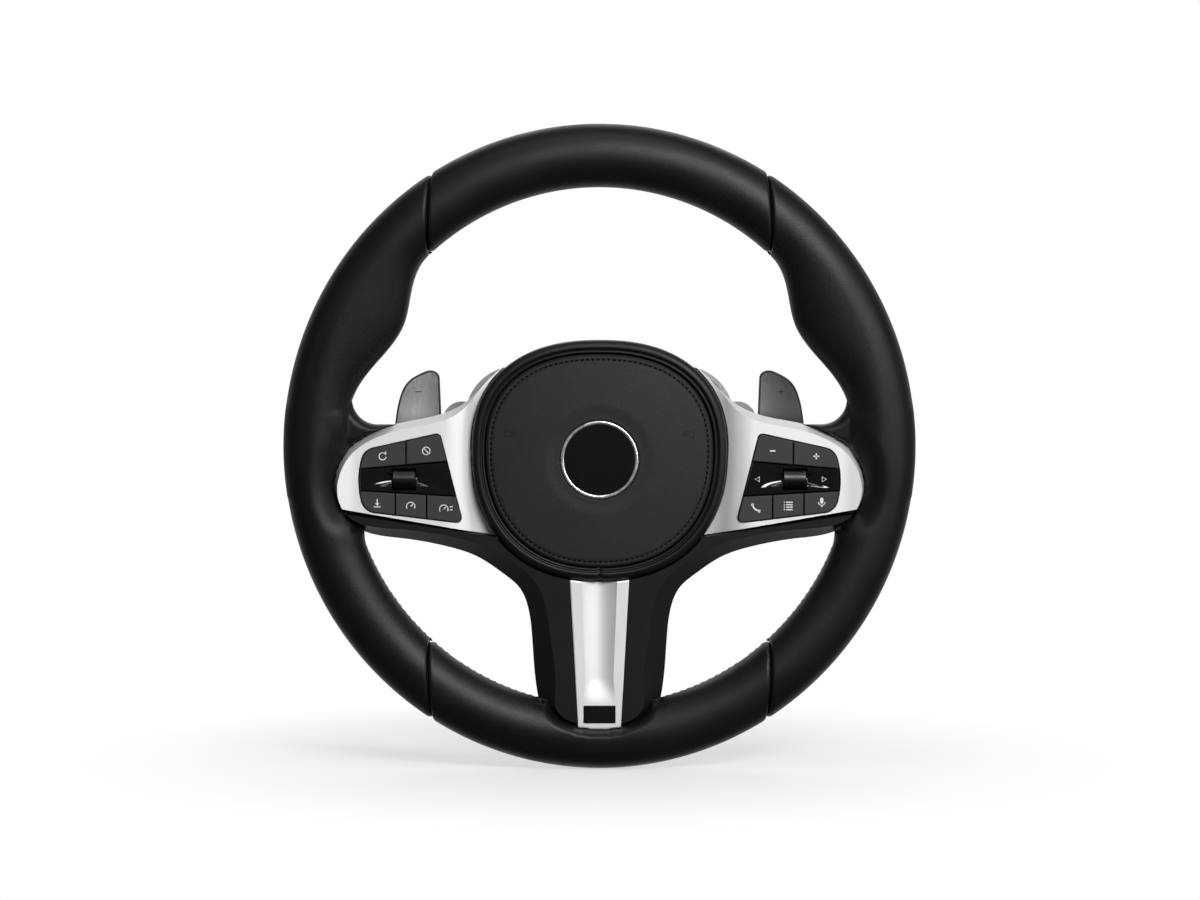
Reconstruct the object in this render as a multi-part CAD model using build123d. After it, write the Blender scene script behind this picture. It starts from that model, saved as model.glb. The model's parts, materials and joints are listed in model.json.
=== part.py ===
from build123d import *
import math
import os

# Car steering wheel with airbag module, two switch packs and two shift paddles.
# The origin is the rear mouth of the column bore, on the column axis.
# +Z is up, +X is the driver's right, and the driver is on the -Y side.
# Depths are measured from the rear face of the hub towards the driver, so y = -depth.

# Rim
RIM_MID_X = 166.45
RIM_MID_Z = 170.35
RIM_HALF_WIDTH = 18.55
RIM_HALF_DEPTH = 16.5
RIM_DEPTH = 54.0
LEATHER_WALL = 1.2
GLUE_GAP = 0.2
SEAM_X = 98.5
SEAM_GAP = 0.8
CORE_HALF_WIDTH = 5.5
CORE_HALF_DEPTH = 5.0
THUMB_ANGLE = 29.4
THUMB_REACH = 14.4
THUMB_UPPER_SPAN = 18.0
THUMB_LOWER_SPAN = 22.0
SECTION_STEP = 7.5
RIGHT_SPAN = (-67.5, 67.5)
TOP_SPAN = (45.0, 135.0)
LOW_SPAN = (-135.0, -45.0)
NOTCH_Z = 13.3
NOTCH_RADIUS = 12.0
GUSSET_DEPTH = 61.0
POCKET_DEPTH = 56.0

# Hub, arms and legs of the armature
BORE_RADIUS = 8.75
HUB_RADIUS = 20.0
HUB_LENGTH = 24.0
BOLT_SEAT_RADIUS = 13.5
BOLT_SEAT_DEPTH = 19.0
PLATE_RADIUS = 36.0
PLATE_BACK = 14.0
PLATE_FRONT = 22.0
ARM_BACK = 31.0
ARM_FRONT = 38.0
ARM_Z = -12.0
ARM_WIDTH = 22.0
ARM_RISE_START = 32.0
ARM_RISE_END = 51.0
LEG_X = 19.0
LEG_WIDTH = 11.0

# Airbag module
AIRBAG_HALF_WIDTH = 74.7
AIRBAG_TOP = 62.7
AIRBAG_LOW = -78.0
AIRBAG_WIDE_Z = -2.0
AIRBAG_TOP_POWER = 2.35
AIRBAG_LOW_POWER = 2.25
BAND_WIDTH = 7.6
BAND_BACK = 52.0
BAND_FRONT = 66.0
BAND_ROUND = 2.8
BAND_GAP = 0.6
COVER_APEX = 72.0
COVER_CROWN = 330.0
COVER_ROUND = 2.5
COVER_WALL = 3.0
DISH_RADIUS = 32.0
DISH_DROP = 1.3
EMBLEM_Z = -6.9
EMBLEM_RADIUS = 22.8
EMBLEM_RING = 2.2
EMBLEM_FLOOR = 67.6
EMBLEM_CROWN = 160.0
FLANGE_WALL = 2.0
FLANGE_INSET = 2.0
TRAY_INSET = 12.2
TRAY_FRONT = 60.0
INFLATOR_RADIUS = 30.0
INFLATOR_BACK = 29.0
INFLATOR_FRONT = 56.0
PIN_X = 57.0
PIN_LOW_Z = -62.0
PIN_RADIUS = 3.0
PIN_BACK = 32.6
PIN_HOLE = 3.6
HORN_COIL = 5.0
HORN_WIRE = 0.6

# Front trims and covers
MODULE_GAP = 0.8
FIT_GAP = 0.4
TRIM_BACK = 46.0
TRIM_FACE = 62.0
TRIM_HUB_FACE = 54.5
TRIM_TIP_RISE = 2.6
TRIM_WALL = 2.4
TRIM_SKIRT = 1.2
BEVEL_BACK = 55.0
BEVEL_TOP = 66.0
COVER_FACE = 62.0
COVER_SKIRT = 2.4
CREASE_BACK = 50.0
INSERT_TOP_HALF = 17.7
INSERT_LOW_HALF = 12.5
INSERT_FLOOR = 56.0
INSERT_FACE = 62.6
INSERT_GAP = 0.3
SCOOP_RADIUS = 15.0
SCOOP_END_Z = -146.0
PLATE_WIDTH = 18.6
PLATE_HEIGHT = 10.2
PLATE_Z = -156.5
PLATE_RECESS = 0.9
BADGE_THICKNESS = 1.2

# Rear cover
REAR_BACK = 3.0
REAR_ARM_BACK = 27.0
REAR_WALL = 2.5
REAR_FRONT = 45.6
REAR_INSET = 0.8
BOWL_RADIUS = 55.5
BOWL_Z = -10.0
COLUMN_HOLE = 32.0
ACCESS_HOLE = 4.0
ACCESS_X = 42.0
SHOULDER_X = 50.0
SHOULDER_Z = 18.0
SHOULDER_RADIUS = 28.7
SCREWS = [(76.0, -36.0), (31.0, -104.0)]
SCREW_RADIUS = 1.6
SCREW_HEAD = 3.2
SCREW_HEAD_HEIGHT = 2.2
SCREW_LENGTH = 14.0
BOSS_RADIUS = 3.4

# Switch packs
PAD_EDGE = 7.6
PAD_LENGTH = 60.0
PAD_GAP = 0.7
KEY_GAP = 0.7
KEY_FACE = 62.5
KEY_BACK = 58.0
KEY_EDGE = 0.6
STEM_INSET = 2.4
STEM_BACK = 51.0
STEM_GAP = 0.25
FRAME_BACK = 53.0
FRAME_FRONT = 56.0
TRAY_BACK = 44.0
TRAY_WALL = 1.5
BOARD_WALL = 1.6
MAT_WALL = 1.0
DOME_RADIUS = 2.6
DOME_HEIGHT = 1.4
TRAY_GAP = 0.3
ROCKER_FACE = 61.6
ROCKER_SCOOP = 40.0
ROLLER_RADIUS = 6.0
ROLLER_WIDTH = 13.5
ROLLER_DEPTH = 57.8
ROLLER_RIBS = 40
ROLLER_RIB_HEIGHT = 0.35
ROLLER_GAP = 0.4
AXLE_RADIUS = 1.2
RUNNING = 0.06
PIVOT_RADIUS = 1.2
PIVOT_DEPTH = 57.6

# Shift paddles
PADDLE_AXIS_X = 82.0
PADDLE_AXIS_DEPTH = 17.5
PADDLE_PIN = 2.0
KNUCKLE_RADIUS = 4.2
KNUCKLE_LOW = -10.0
KNUCKLE_HIGH = 16.0
BLADE_THICKNESS = 3.6
BLADE_EDGE = 1.2
BLADE_BEND = 70.0
HOUSING_BACK = 12.0
HOUSING_RADIUS = 10.5
HOUSING_X = 82.3
HOUSING_LOW = -24.0
HOUSING_HIGH = 25.5
SPRING_X = 88.5
SPRING_COIL = 1.9
SPRING_WIRE = 0.35

# Sizes that follow from the ones above
INNER_X = RIM_MID_X - RIM_HALF_WIDTH
INNER_Z = RIM_MID_Z - RIM_HALF_WIDTH
PAD_END = INNER_X - PAD_EDGE
ROLLER_X = PAD_END - 26.1
ROLLER_Z = -18.6


def front(depth):
    """Plane parallel to the wheel at a depth, facing the driver."""
    return Plane.XZ.offset(depth)


def slab(face, back, ahead):
    """A flat outline in X and Z made solid between two depths."""
    return extrude(front(back) * face, amount=ahead - back)


def at_depth(x, depth, z):
    """A point given by its depth instead of y."""
    return Vector(x, -depth, z)


def polygon(*points):
    """Face with straight sides."""
    return make_face(Polyline(*points, close=True))


def disc(x, z, radius):
    """Round face."""
    return Pos(x, z) * Circle(radius)


def block(x0, x1, z0, z1):
    """Rectangular face between two corners."""
    return polygon((x0, z0), (x1, z0), (x1, z1), (x0, z1))


def moved_out(points, amount):
    """Closed outline with its corners moved outwards by one amount or by one each."""
    count = len(points)
    amounts = amount if isinstance(amount, list) else [amount] * count
    area = sum(points[i - 1][0] * points[i][1] - points[i][0] * points[i - 1][1] for i in range(count))
    turn = math.copysign(1, area)
    moved = []
    for i in range(count):
        here = Vector(*points[i])
        before = (here - Vector(*points[i - 1])).normalized()
        after = (Vector(*points[(i + 1) % count]) - here).normalized()
        total = Vector(before.Y + after.Y, -before.X - after.X)
        shift = total * (turn * amounts[i] / (1 + before.dot(after)))
        moved.append((here.X + shift.X, here.Y + shift.Y))
    return moved


def outline(points, curved, grow=0.0):
    """Face whose first points lie on one smooth curve and whose other sides are straight."""
    moved = moved_out(points, grow)
    curve = Spline(*moved[:curved])
    straight = Polyline(*moved[curved - 1:], moved[0])
    return make_face(curve.edges() + straight.edges())


def both(face):
    """Face together with its mirror image."""
    return face + mirror(face, about=Plane.YZ)


def egg(inset):
    """Rounded outline of the airbag module, moved inwards."""
    points = []
    for step in range(24):
        turn = math.radians(15 * step)
        across = math.cos(turn)
        up = math.sin(turn)
        power = AIRBAG_TOP_POWER if up > 0 else AIRBAG_LOW_POWER
        height = AIRBAG_TOP - AIRBAG_WIDE_Z if up > 0 else AIRBAG_WIDE_Z - AIRBAG_LOW
        x = (AIRBAG_HALF_WIDTH - inset) * math.copysign(abs(across) ** (2 / power), across)
        z = AIRBAG_WIDE_Z + (height - inset) * math.copysign(abs(up) ** (2 / power), up)
        points.append((x, z))
    return make_face(Spline(*points, periodic=True))


def ball(depth, radius, z):
    """Ball whose foremost point is at a depth on the module's middle line."""
    return Pos(0, radius - depth, z) * Sphere(radius)


def coil(foot, radius, wire, height, turns):
    """Coil spring that stands on a point and grows towards the driver."""
    path = Helix(height / turns, height, radius, center=foot, direction=(0, -1, 0))
    section = Plane(origin=path @ 0, z_dir=path % 0) * Circle(wire)
    return sweep(section, path=path, is_frenet=True)


parts = {}


def pair(name, shape):
    """Right-hand piece and its mirror image on the left."""
    parts["right_" + name] = shape
    parts["left_" + name] = mirror(shape, about=Plane.YZ)


# Rim: lofts of two half ellipses, the inner one deeper at the thumb rests
def thumb_reach(angle):
    """How far the thumb rest stands in from the plain rim at an angle from the right-hand spoke."""
    folded = angle if math.cos(math.radians(angle)) > 0 else 180 - angle
    off = folded - THUMB_ANGLE
    share = off / (THUMB_UPPER_SPAN if off > 0 else THUMB_LOWER_SPAN)
    return THUMB_REACH * math.cos(math.pi / 2 * share) ** 2 if abs(share) < 1 else 0.0


def ring_section(angle, half_width, half_depth, reach):
    """Section across the rim at an angle from the right-hand spoke."""
    turn = math.radians(angle)
    normal = Vector(math.cos(turn) / RIM_MID_X, 0, math.sin(turn) / RIM_MID_Z).normalized()
    middle = at_depth(RIM_MID_X * math.cos(turn), RIM_DEPTH, RIM_MID_Z * math.sin(turn))
    outer = EllipticalCenterArc((0, 0), half_width, half_depth, -90, arc_size=180)
    inner = EllipticalCenterArc((0, 0), half_width + reach, half_depth, 90, arc_size=180)
    plane = Plane(origin=middle, x_dir=normal, z_dir=(-normal.Z, 0, normal.X))
    return plane * make_face([outer, inner])


def rim_piece(first, last, skin):
    """Length of rim between two angles, moved outwards by a skin."""
    sections = []
    for step in range(round((last - first) / SECTION_STEP) + 1):
        angle = first + step * SECTION_STEP
        reach = thumb_reach(angle)
        sections.append(ring_section(angle, RIM_HALF_WIDTH + skin, RIM_HALF_DEPTH + skin, reach))
    return loft(sections)


def closed_ring(half_width, half_depth, thumbs):
    """Whole ring along the middle of the rim, with or without the thumb rests."""
    sections = []
    for step in range(round(360 / SECTION_STEP)):
        angle = 90 + step * SECTION_STEP
        reach = thumb_reach(angle if angle < 180 else angle - 360) if thumbs else 0.0
        sections.append(ring_section(angle, half_width, half_depth, reach))
    return loft(sections + sections[:1])


def gusset():
    """Corner between the rim and the top of the right-hand spoke."""
    z = NOTCH_Z
    far_x = INNER_X + 6
    round_x = INNER_X - 4.4 - NOTCH_RADIUS
    start = round_x - 8
    top = Line((start, z), (round_x, z))
    corner = CenterArc((round_x, z + NOTCH_RADIUS), NOTCH_RADIUS, -90, 90)
    rest = Polyline(corner @ 1, (far_x, z + NOTCH_RADIUS + 6), (far_x, z - 16), (start, z - 16), (start, z))
    body = slab(make_face([top, corner] + rest.edges()), TRIM_BACK, GUSSET_DEPTH)
    ahead = body.faces().sort_by(Axis.Y)[0]
    upper = [edge for edge in ahead.edges() if edge.center().Z > z - 1 and edge.center().X < INNER_X - 3]
    return fillet(upper, 5)


TRIM_POINTS = [
    (56.5, 47.0),
    (65.6, 38.9),
    (79.1, 25.8),
    (93.9, 18.7),
    (INNER_X - 30.7, 13.8),
    (INNER_X - 13.9, 8.0),
    (INNER_X + 0.5, -2.7),
    (INNER_X + 7.5, -21.3),
    (INNER_X + 2.8, -36.8),
    (55.0, -52.6),
    (45.0, -40.0),
    (45.0, 47.0),
]
TRIM_CURVED = 9
TRIM_BEVEL = [-3.0, -4.5, -5.5, -5.5, -5.5, -5.5, -5.0, -3.0, -1.0, 0.0, 0.0, 0.0]

COVER_POINTS = [
    (INNER_X + 2.9, -37.4),
    (INNER_X - 1.6, -44.8),
    (INNER_X - 14.1, -51.2),
    (INNER_X - 32.1, -53.9),
    (88.9, -58.8),
    (71.0, -65.0),
    (56.3, -74.8),
    (47.0, -83.0),
    (42.4, -93.0),
    (39.8, -110.0),
    (36.2, -INNER_Z + 5.0),
    (32.6, -INNER_Z - 4.5),
    (25.2, -INNER_Z - 9.2),
    (13.9, -INNER_Z - 12.0),
    (0.0, -INNER_Z - 13.2),
    (-6.0, -INNER_Z - 13.2),
    (-6.0, -45.0),
    (55.0, -53.2),
]
COVER_CURVED = 15
COVER_CREASE = [-1.5, -3.0, -5.0, -6.0, -7.0, -8.0, -9.5, -10.0, -10.5, -10.8, -10.5, -8.0, -5.0, -2.0]
COVER_CREASE = COVER_CREASE + [0.0] * (len(COVER_POINTS) - len(COVER_CREASE))


room_face = both(outline(TRIM_POINTS, TRIM_CURVED, FIT_GAP))
room_face = room_face + both(outline(COVER_POINTS, COVER_CURVED, FIT_GAP))
front_room = slab(room_face, POCKET_DEPTH - FIT_GAP, RIM_DEPTH + 20)

# Armature: hub, plate, two arms, two legs and the ring in the rim
def arm_side(end):
    """Side view of an arm or leg, as distance from the axis and depth."""
    return [
        (HUB_RADIUS - 4, PLATE_BACK),
        (ARM_RISE_START, PLATE_BACK),
        (ARM_RISE_END, ARM_BACK),
        (end - 27, ARM_BACK),
        (end, RIM_DEPTH - 3.5),
        (end, RIM_DEPTH + 1),
        (end - 8, RIM_DEPTH + 1),
        (end - 31, ARM_FRONT),
        (ARM_RISE_END - 2, ARM_FRONT),
        (ARM_RISE_START - 2, PLATE_FRONT),
        (HUB_RADIUS - 4, PLATE_FRONT),
    ]


arm_points = [at_depth(x, depth, ARM_Z - ARM_WIDTH / 2) for x, depth in arm_side(RIM_MID_X - 1.5)]
arm_face = make_face(Polyline(*arm_points, close=True))
arm = extrude(arm_face, amount=ARM_WIDTH, dir=(0, 0, 1))
leg_points = [at_depth(LEG_X - LEG_WIDTH / 2, depth, -z) for z, depth in arm_side(RIM_MID_Z - 4.5)]
leg_face = make_face(Polyline(*leg_points, close=True))
leg = extrude(leg_face, amount=LEG_WIDTH, dir=(1, 0, 0))
core = closed_ring(CORE_HALF_WIDTH, CORE_HALF_DEPTH, False)
lug_half = LEG_X - LEG_WIDTH / 2 + 1
lug = slab(block(-lug_half, lug_half, PIN_LOW_Z - 6.5, PIN_LOW_Z + 6.5), ARM_BACK, ARM_FRONT)
armature = slab(Circle(HUB_RADIUS), 0, HUB_LENGTH) + slab(Circle(PLATE_RADIUS), PLATE_BACK, PLATE_FRONT)
armature = armature + arm + mirror(arm, about=Plane.YZ) + leg + mirror(leg, about=Plane.YZ) + core + lug
armature = armature - slab(Circle(BORE_RADIUS), -1, HUB_LENGTH + 1)
armature = armature - slab(Circle(BOLT_SEAT_RADIUS), BOLT_SEAT_DEPTH, HUB_LENGTH + 1)
PIN_PLACES = [(PIN_X, ARM_Z), (-PIN_X, ARM_Z), (0.0, PIN_LOW_Z)]
for x, z in PIN_PLACES:
    armature = armature - slab(disc(x, z, PIN_HOLE), ARM_BACK - 1, ARM_FRONT + 1)
parts["armature"] = armature

# Foam and the four leather pieces
skin = LEATHER_WALL + GLUE_GAP
parts["rim_foam"] = closed_ring(RIM_HALF_WIDTH - skin, RIM_HALF_DEPTH - skin, True) - front_room - armature


def leather_piece(span, extent):
    """Skin over one length of the rim, inside an extent."""
    return (rim_piece(*span, 0.0) & extent) - rim_piece(*span, -LEATHER_WALL)


middle = Box(2 * SEAM_X - SEAM_GAP, 200, 400, align=(Align.CENTER, Align.CENTER, Align.MIN))
parts["rim_leather_top"] = leather_piece(TOP_SPAN, middle)
low_piece = leather_piece(LOW_SPAN, Pos(0, 0, -400) * middle)
parts["rim_leather_bottom"] = low_piece - front_room - leg - mirror(leg, about=Plane.YZ)
side = Pos(SEAM_X + SEAM_GAP / 2, 0, 0) * Box(400, 200, 800, align=(Align.MIN, Align.CENTER, Align.CENTER))
corner = gusset() - rim_piece(*RIGHT_SPAN, -LEATHER_WALL)
corner = corner - slab(outline(TRIM_POINTS, TRIM_CURVED, FIT_GAP), TRIM_BACK - 2, RIM_DEPTH + 20)
pair("rim_leather", leather_piece(RIGHT_SPAN, side) - front_room + corner - arm)

# Spoke trims
keep_out = slab(block(-400, 400, -400, 400), 0, POCKET_DEPTH)
side_keep_out = rim_piece(*RIGHT_SPAN, FIT_GAP) & keep_out
low_keep_out = rim_piece(*LOW_SPAN, FIT_GAP) & keep_out
module_room = slab(egg(-MODULE_GAP), 0, 100)
arm_half = ARM_WIDTH / 2 + 0.5
arm_way = block(INNER_X - 30, INNER_X + 40, ARM_Z - arm_half, ARM_Z + arm_half)


def trim_front(drop):
    """Everything behind the front face of the right-hand trim, lowered by a drop."""
    line = FilletPolyline(
        (40, TRIM_HUB_FACE - 3 - drop),
        (AIRBAG_HALF_WIDTH - 6, TRIM_HUB_FACE - drop),
        (AIRBAG_HALF_WIDTH + 8, TRIM_FACE - drop),
        (INNER_X - 4, TRIM_FACE - drop),
        (INNER_X + 12, TRIM_FACE + TRIM_TIP_RISE - drop),
        radius=30,
    )
    rest = Polyline(line @ 1, (INNER_X + 12, 20), (40, 20), line @ 0)
    face = make_face(line.edges() + rest.edges())
    return Pos(0, 0, -100) * extrude(mirror(face, about=Plane.XZ), amount=200)


PAD_POINTS = {
    "high_in": (PAD_END - 46.8, 8.0),
    "high_out": (PAD_END - 3.5, -1.6),
    "bulge": (PAD_END, -19.6),
    "low_out": (PAD_END - 3.5, -37.2),
    "low_in": (PAD_END - PAD_LENGTH, -44.0),
}


def pad(grow):
    """Outline of the right-hand switch pack."""
    bulge = ThreePointArc(PAD_POINTS["high_out"], PAD_POINTS["bulge"], PAD_POINTS["low_out"])
    corners = [PAD_POINTS[name] for name in ("low_out", "low_in", "high_in", "high_out")]
    rest = Polyline(*corners)
    face = make_face([bulge] + rest.edges())
    inner = [v for v in face.vertices() if v.X < PAD_END - 20]
    face = fillet(inner, 2.5)
    outer = [v for v in face.vertices() if v.X > PAD_END - 10]
    face = fillet(outer, 8.5)
    return offset(face, grow) if grow else face


trim_face = outline(TRIM_POINTS, TRIM_CURVED)
bevel_face = outline(TRIM_POINTS, TRIM_CURVED, TRIM_BEVEL)
bevel = loft([front(BEVEL_BACK) * trim_face, front(BEVEL_TOP) * bevel_face], ruled=True)
trim = (slab(trim_face, TRIM_BACK, BEVEL_BACK) + bevel) & trim_front(0)
room_low = outline(TRIM_POINTS, TRIM_CURVED, -TRIM_SKIRT)
room_high = outline(TRIM_POINTS, TRIM_CURVED, [step - TRIM_SKIRT - 0.4 for step in TRIM_BEVEL])
hollow = loft([front(BEVEL_BACK) * room_low, front(BEVEL_TOP) * room_high], ruled=True)
hollow = (slab(room_low, 0, BEVEL_BACK) + hollow) & trim_front(TRIM_WALL)
screw_x, screw_z = SCREWS[0]
boss = slab(disc(screw_x, screw_z, BOSS_RADIUS), REAR_ARM_BACK + REAR_WALL, TRIM_FACE)
trim = trim - (hollow - slab(egg(-MODULE_GAP - TRIM_SKIRT), 0, 100))
trim = trim + (boss & trim_front(0.5))
trim = trim - slab(disc(screw_x, screw_z, SCREW_RADIUS), 0, REAR_ARM_BACK + SCREW_LENGTH + 1)
trim = trim - slab(pad(PAD_GAP), 0, 100) - module_room - side_keep_out
trim = trim - slab(arm_way, 0, RIM_DEPTH + 1.4)
pair("spoke_trim", trim)

# Spoke cover with its channel, lower insert and plate
cover_face = both(outline(COVER_POINTS, COVER_CURVED))
crease = loft(
    [
        front(CREASE_BACK) * outline(COVER_POINTS, COVER_CURVED),
        front(COVER_FACE) * outline(COVER_POINTS, COVER_CURVED, COVER_CREASE),
    ],
    ruled=True,
)
cover = slab(cover_face, TRIM_BACK, CREASE_BACK) + crease + mirror(crease, about=Plane.YZ)


def insert_face(grow):
    """Tapered outline of the lower insert."""
    top = AIRBAG_LOW + 8
    low = -INNER_Z - 13.2
    slope = (INSERT_TOP_HALF - INSERT_LOW_HALF) / (top - low)
    return polygon(
        (-INSERT_TOP_HALF - grow, top),
        (INSERT_TOP_HALF + grow, top),
        (INSERT_LOW_HALF + grow - slope * grow, low - grow),
        (-INSERT_LOW_HALF - grow + slope * grow, low - grow),
    )


hollow = both(outline(COVER_POINTS, COVER_CURVED, -COVER_SKIRT))
deep = block(-LEG_X - 6, LEG_X + 6, -INNER_Z - 4, AIRBAG_LOW + 12)
inside = slab(hollow, 0, CREASE_BACK) + slab(deep, 0, INSERT_FLOOR - COVER_SKIRT)
screw_x, screw_z = SCREWS[1]
bosses = both(disc(screw_x, screw_z, BOSS_RADIUS))
cover = cover - (inside - slab(bosses, REAR_ARM_BACK + REAR_WALL, COVER_FACE))
cover = cover + slab(bosses, REAR_ARM_BACK + REAR_WALL, CREASE_BACK)
cover = cover - slab(both(disc(screw_x, screw_z, SCREW_RADIUS)), 0, REAR_ARM_BACK + SCREW_LENGTH + 1)
cover = cover - slab(insert_face(INSERT_GAP), INSERT_FLOOR, 100) - module_room - low_keep_out
cover = cover - side_keep_out - mirror(side_keep_out, about=Plane.YZ)
parts["spoke_cover"] = cover

insert = slab(insert_face(0) & cover_face, INSERT_FLOOR, INSERT_FACE) - module_room - low_keep_out
scoop_high = at_depth(0, INSERT_FACE + SCOOP_RADIUS - 4.4, AIRBAG_LOW)
scoop_low = at_depth(0, INSERT_FACE + SCOOP_RADIUS - 1.6, SCOOP_END_Z)
scoop = Plane(origin=scoop_high, z_dir=scoop_low - scoop_high) * Circle(SCOOP_RADIUS)
scoop = Pos(0, 0, 12) * extrude(scoop, amount=(scoop_low - scoop_high).length + 12)
scoop = scoop + Pos(scoop_low.X, scoop_low.Y, scoop_low.Z) * Sphere(SCOOP_RADIUS)
insert = insert - scoop
plate_face = Pos(0, PLATE_Z) * RectangleRounded(PLATE_WIDTH, PLATE_HEIGHT, 1.2)
insert = insert - slab(offset(plate_face, 0.15), INSERT_FACE - PLATE_RECESS, 100)
parts["lower_insert"] = insert
plate = slab(plate_face, INSERT_FACE - PLATE_RECESS, INSERT_FACE - PLATE_RECESS + BADGE_THICKNESS)
parts["insert_plate"] = fillet(plate.faces().sort_by(Axis.Y)[0].edges(), 0.3)

# Rear cover
def rear_outline(inset):
    """Outline of the rear cover: both arms, the lower spoke, the module and the shoulders."""
    arms = outline(TRIM_POINTS, TRIM_CURVED, -inset) + outline(COVER_POINTS, COVER_CURVED, -inset)
    end_x = INNER_X - 2 - inset
    joint = polygon((60, -48), (end_x, -34), (end_x, -40), (60, -57))
    shoulder = disc(SHOULDER_X, SHOULDER_Z, SHOULDER_RADIUS + REAR_INSET - inset)
    return both(arms + joint + shoulder) + egg(3 + inset - REAR_INSET)


rear_arms = rear_outline(REAR_INSET)
rear_room = rear_outline(REAR_INSET + REAR_WALL)
bowl = slab(disc(0, BOWL_Z, BOWL_RADIUS), REAR_BACK, REAR_ARM_BACK + 1)
bowl = fillet(bowl.faces().sort_by(Axis.Y)[-1].edges(), 8)
rear = slab(rear_arms, REAR_ARM_BACK, REAR_FRONT) + bowl
rear = rear - slab(rear_room, REAR_ARM_BACK + REAR_WALL, REAR_FRONT + 1)
bowl_floor = REAR_BACK + REAR_WALL
arm_floor = REAR_ARM_BACK + REAR_WALL
bowl_room = slab(disc(0, BOWL_Z, BOWL_RADIUS - REAR_WALL), bowl_floor, arm_floor + 1)
rear = rear - fillet(bowl_room.faces().sort_by(Axis.Y)[-1].edges(), 5.5)
rear = rear - slab(Circle(COLUMN_HOLE), 0, REAR_BACK + REAR_WALL + 1)
rear = rear - slab(both(disc(ACCESS_X, BOWL_Z, ACCESS_HOLE)), 0, REAR_BACK + REAR_WALL + 8)
for x, z in SCREWS:
    rear = rear - slab(both(disc(x, z, SCREW_RADIUS + 0.3)), REAR_ARM_BACK - 1, arm_floor + 1)
side_rim = rim_piece(*RIGHT_SPAN, FIT_GAP)
rear = rear - side_rim - mirror(side_rim, about=Plane.YZ) - rim_piece(*LOW_SPAN, FIT_GAP)
leg_half = LEG_WIDTH / 2 + 0.5
leg_way = block(LEG_X - leg_half, LEG_X + leg_half, -INNER_Z - 40, -INNER_Z + 30)
for way in (arm_way, leg_way):
    rear = rear - slab(both(way), ARM_BACK - 1, 80)
parts["rear_cover"] = rear

screws = []
for x, z in SCREWS:
    for side_x in (x, -x):
        head = slab(disc(side_x, z, SCREW_HEAD), REAR_ARM_BACK - SCREW_HEAD_HEIGHT, REAR_ARM_BACK)
        head = fillet(head.faces().sort_by(Axis.Y)[-1].edges(), 0.8)
        shank = slab(disc(side_x, z, SCREW_RADIUS), REAR_ARM_BACK, REAR_ARM_BACK + SCREW_LENGTH)
        drive = slab(Pos(side_x, z) * RegularPolygon(1.4, 6), 0, REAR_ARM_BACK - SCREW_HEAD_HEIGHT + 1.2)
        screws.append(head + shank - drive)
parts["cover_screws"] = Compound(children=[screw.solid() for screw in screws])

# Switch packs
pad_face = pad(0)


def row_line(x, inner_z, outer_z):
    """Height of a line across the pack, given at its inner and outer ends."""
    return inner_z + (outer_z - inner_z) * (x - PAD_END + 55) / 55


def upper_row(x):
    return row_line(x, -7.8, -12.6)


def lower_row(x):
    return row_line(x, -28.5, -25.3)


def key_face(x0, x1, low, high):
    """Part of the pack between two upright lines and two row lines, with half gaps."""
    gap = KEY_GAP / 2
    left = x0 + gap
    right = x1 - gap
    low_side = [(left, low(left) + gap), (right, low(right) + gap)]
    high_side = [(right, high(right) - gap), (left, high(left) - gap)]
    return pad_face & polygon(*low_side, *high_side)


def above(x):
    return 60.0


def below(x):
    return -80.0


LEFT_END = PAD_END - 80
RIGHT_END = PAD_END + 20
TOP_SPLIT = PAD_END - 27.2
LOW_SPLITS = (PAD_END - 39.2, PAD_END - 20.9)
KEYS = {
    "key_top_inner": key_face(LEFT_END, TOP_SPLIT, upper_row, above),
    "key_top_outer": key_face(TOP_SPLIT, RIGHT_END, upper_row, above),
    "key_low_inner": key_face(LEFT_END, LOW_SPLITS[0], below, lower_row),
    "key_low_middle": key_face(LOW_SPLITS[0], LOW_SPLITS[1], below, lower_row),
    "key_low_outer": key_face(LOW_SPLITS[1], RIGHT_END, below, lower_row),
}
rocker_face = key_face(LEFT_END, RIGHT_END, lower_row, upper_row)


def rounded_front(shape, radius):
    """Solid with the edges of its front face rounded."""
    return fillet(shape.faces().sort_by(Axis.Y)[0].edges(), radius)


frame = slab(offset(pad_face, -TRAY_GAP), FRAME_BACK, FRAME_FRONT)
tray = slab(offset(pad_face, -TRAY_GAP), TRAY_BACK, FRAME_BACK)
tray = tray - slab(offset(pad_face, -TRAY_GAP - TRAY_WALL), TRAY_BACK + TRAY_WALL, FRAME_BACK)
for post_x in (PAD_END - 40, PAD_END - 14):
    tray = tray + slab(disc(post_x, ARM_Z, 3.5), ARM_FRONT, TRAY_BACK)
board_face = offset(pad_face, -TRAY_GAP - TRAY_WALL - 0.2)
board_front = TRAY_BACK + TRAY_WALL + BOARD_WALL
board = slab(board_face, TRAY_BACK + TRAY_WALL, board_front)
mat_front = board_front + MAT_WALL
mat = slab(offset(pad_face, -TRAY_GAP - TRAY_WALL - 1), board_front, mat_front)

for name, face in KEYS.items():
    cap = rounded_front(slab(face, KEY_BACK, KEY_FACE), KEY_EDGE)
    stem_face = offset(face, -STEM_INSET)
    pair(name, cap + slab(stem_face, STEM_BACK, KEY_BACK))
    frame = frame - slab(offset(face, STEM_GAP - STEM_INSET), FRAME_BACK - 1, FRAME_FRONT + 1)
    middle = face.center()
    dome = slab(disc(middle.X, middle.Y, DOME_RADIUS), mat_front, mat_front + DOME_HEIGHT)
    mat = mat + chamfer(dome.faces().sort_by(Axis.Y)[0].edges(), 0.9)

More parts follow.
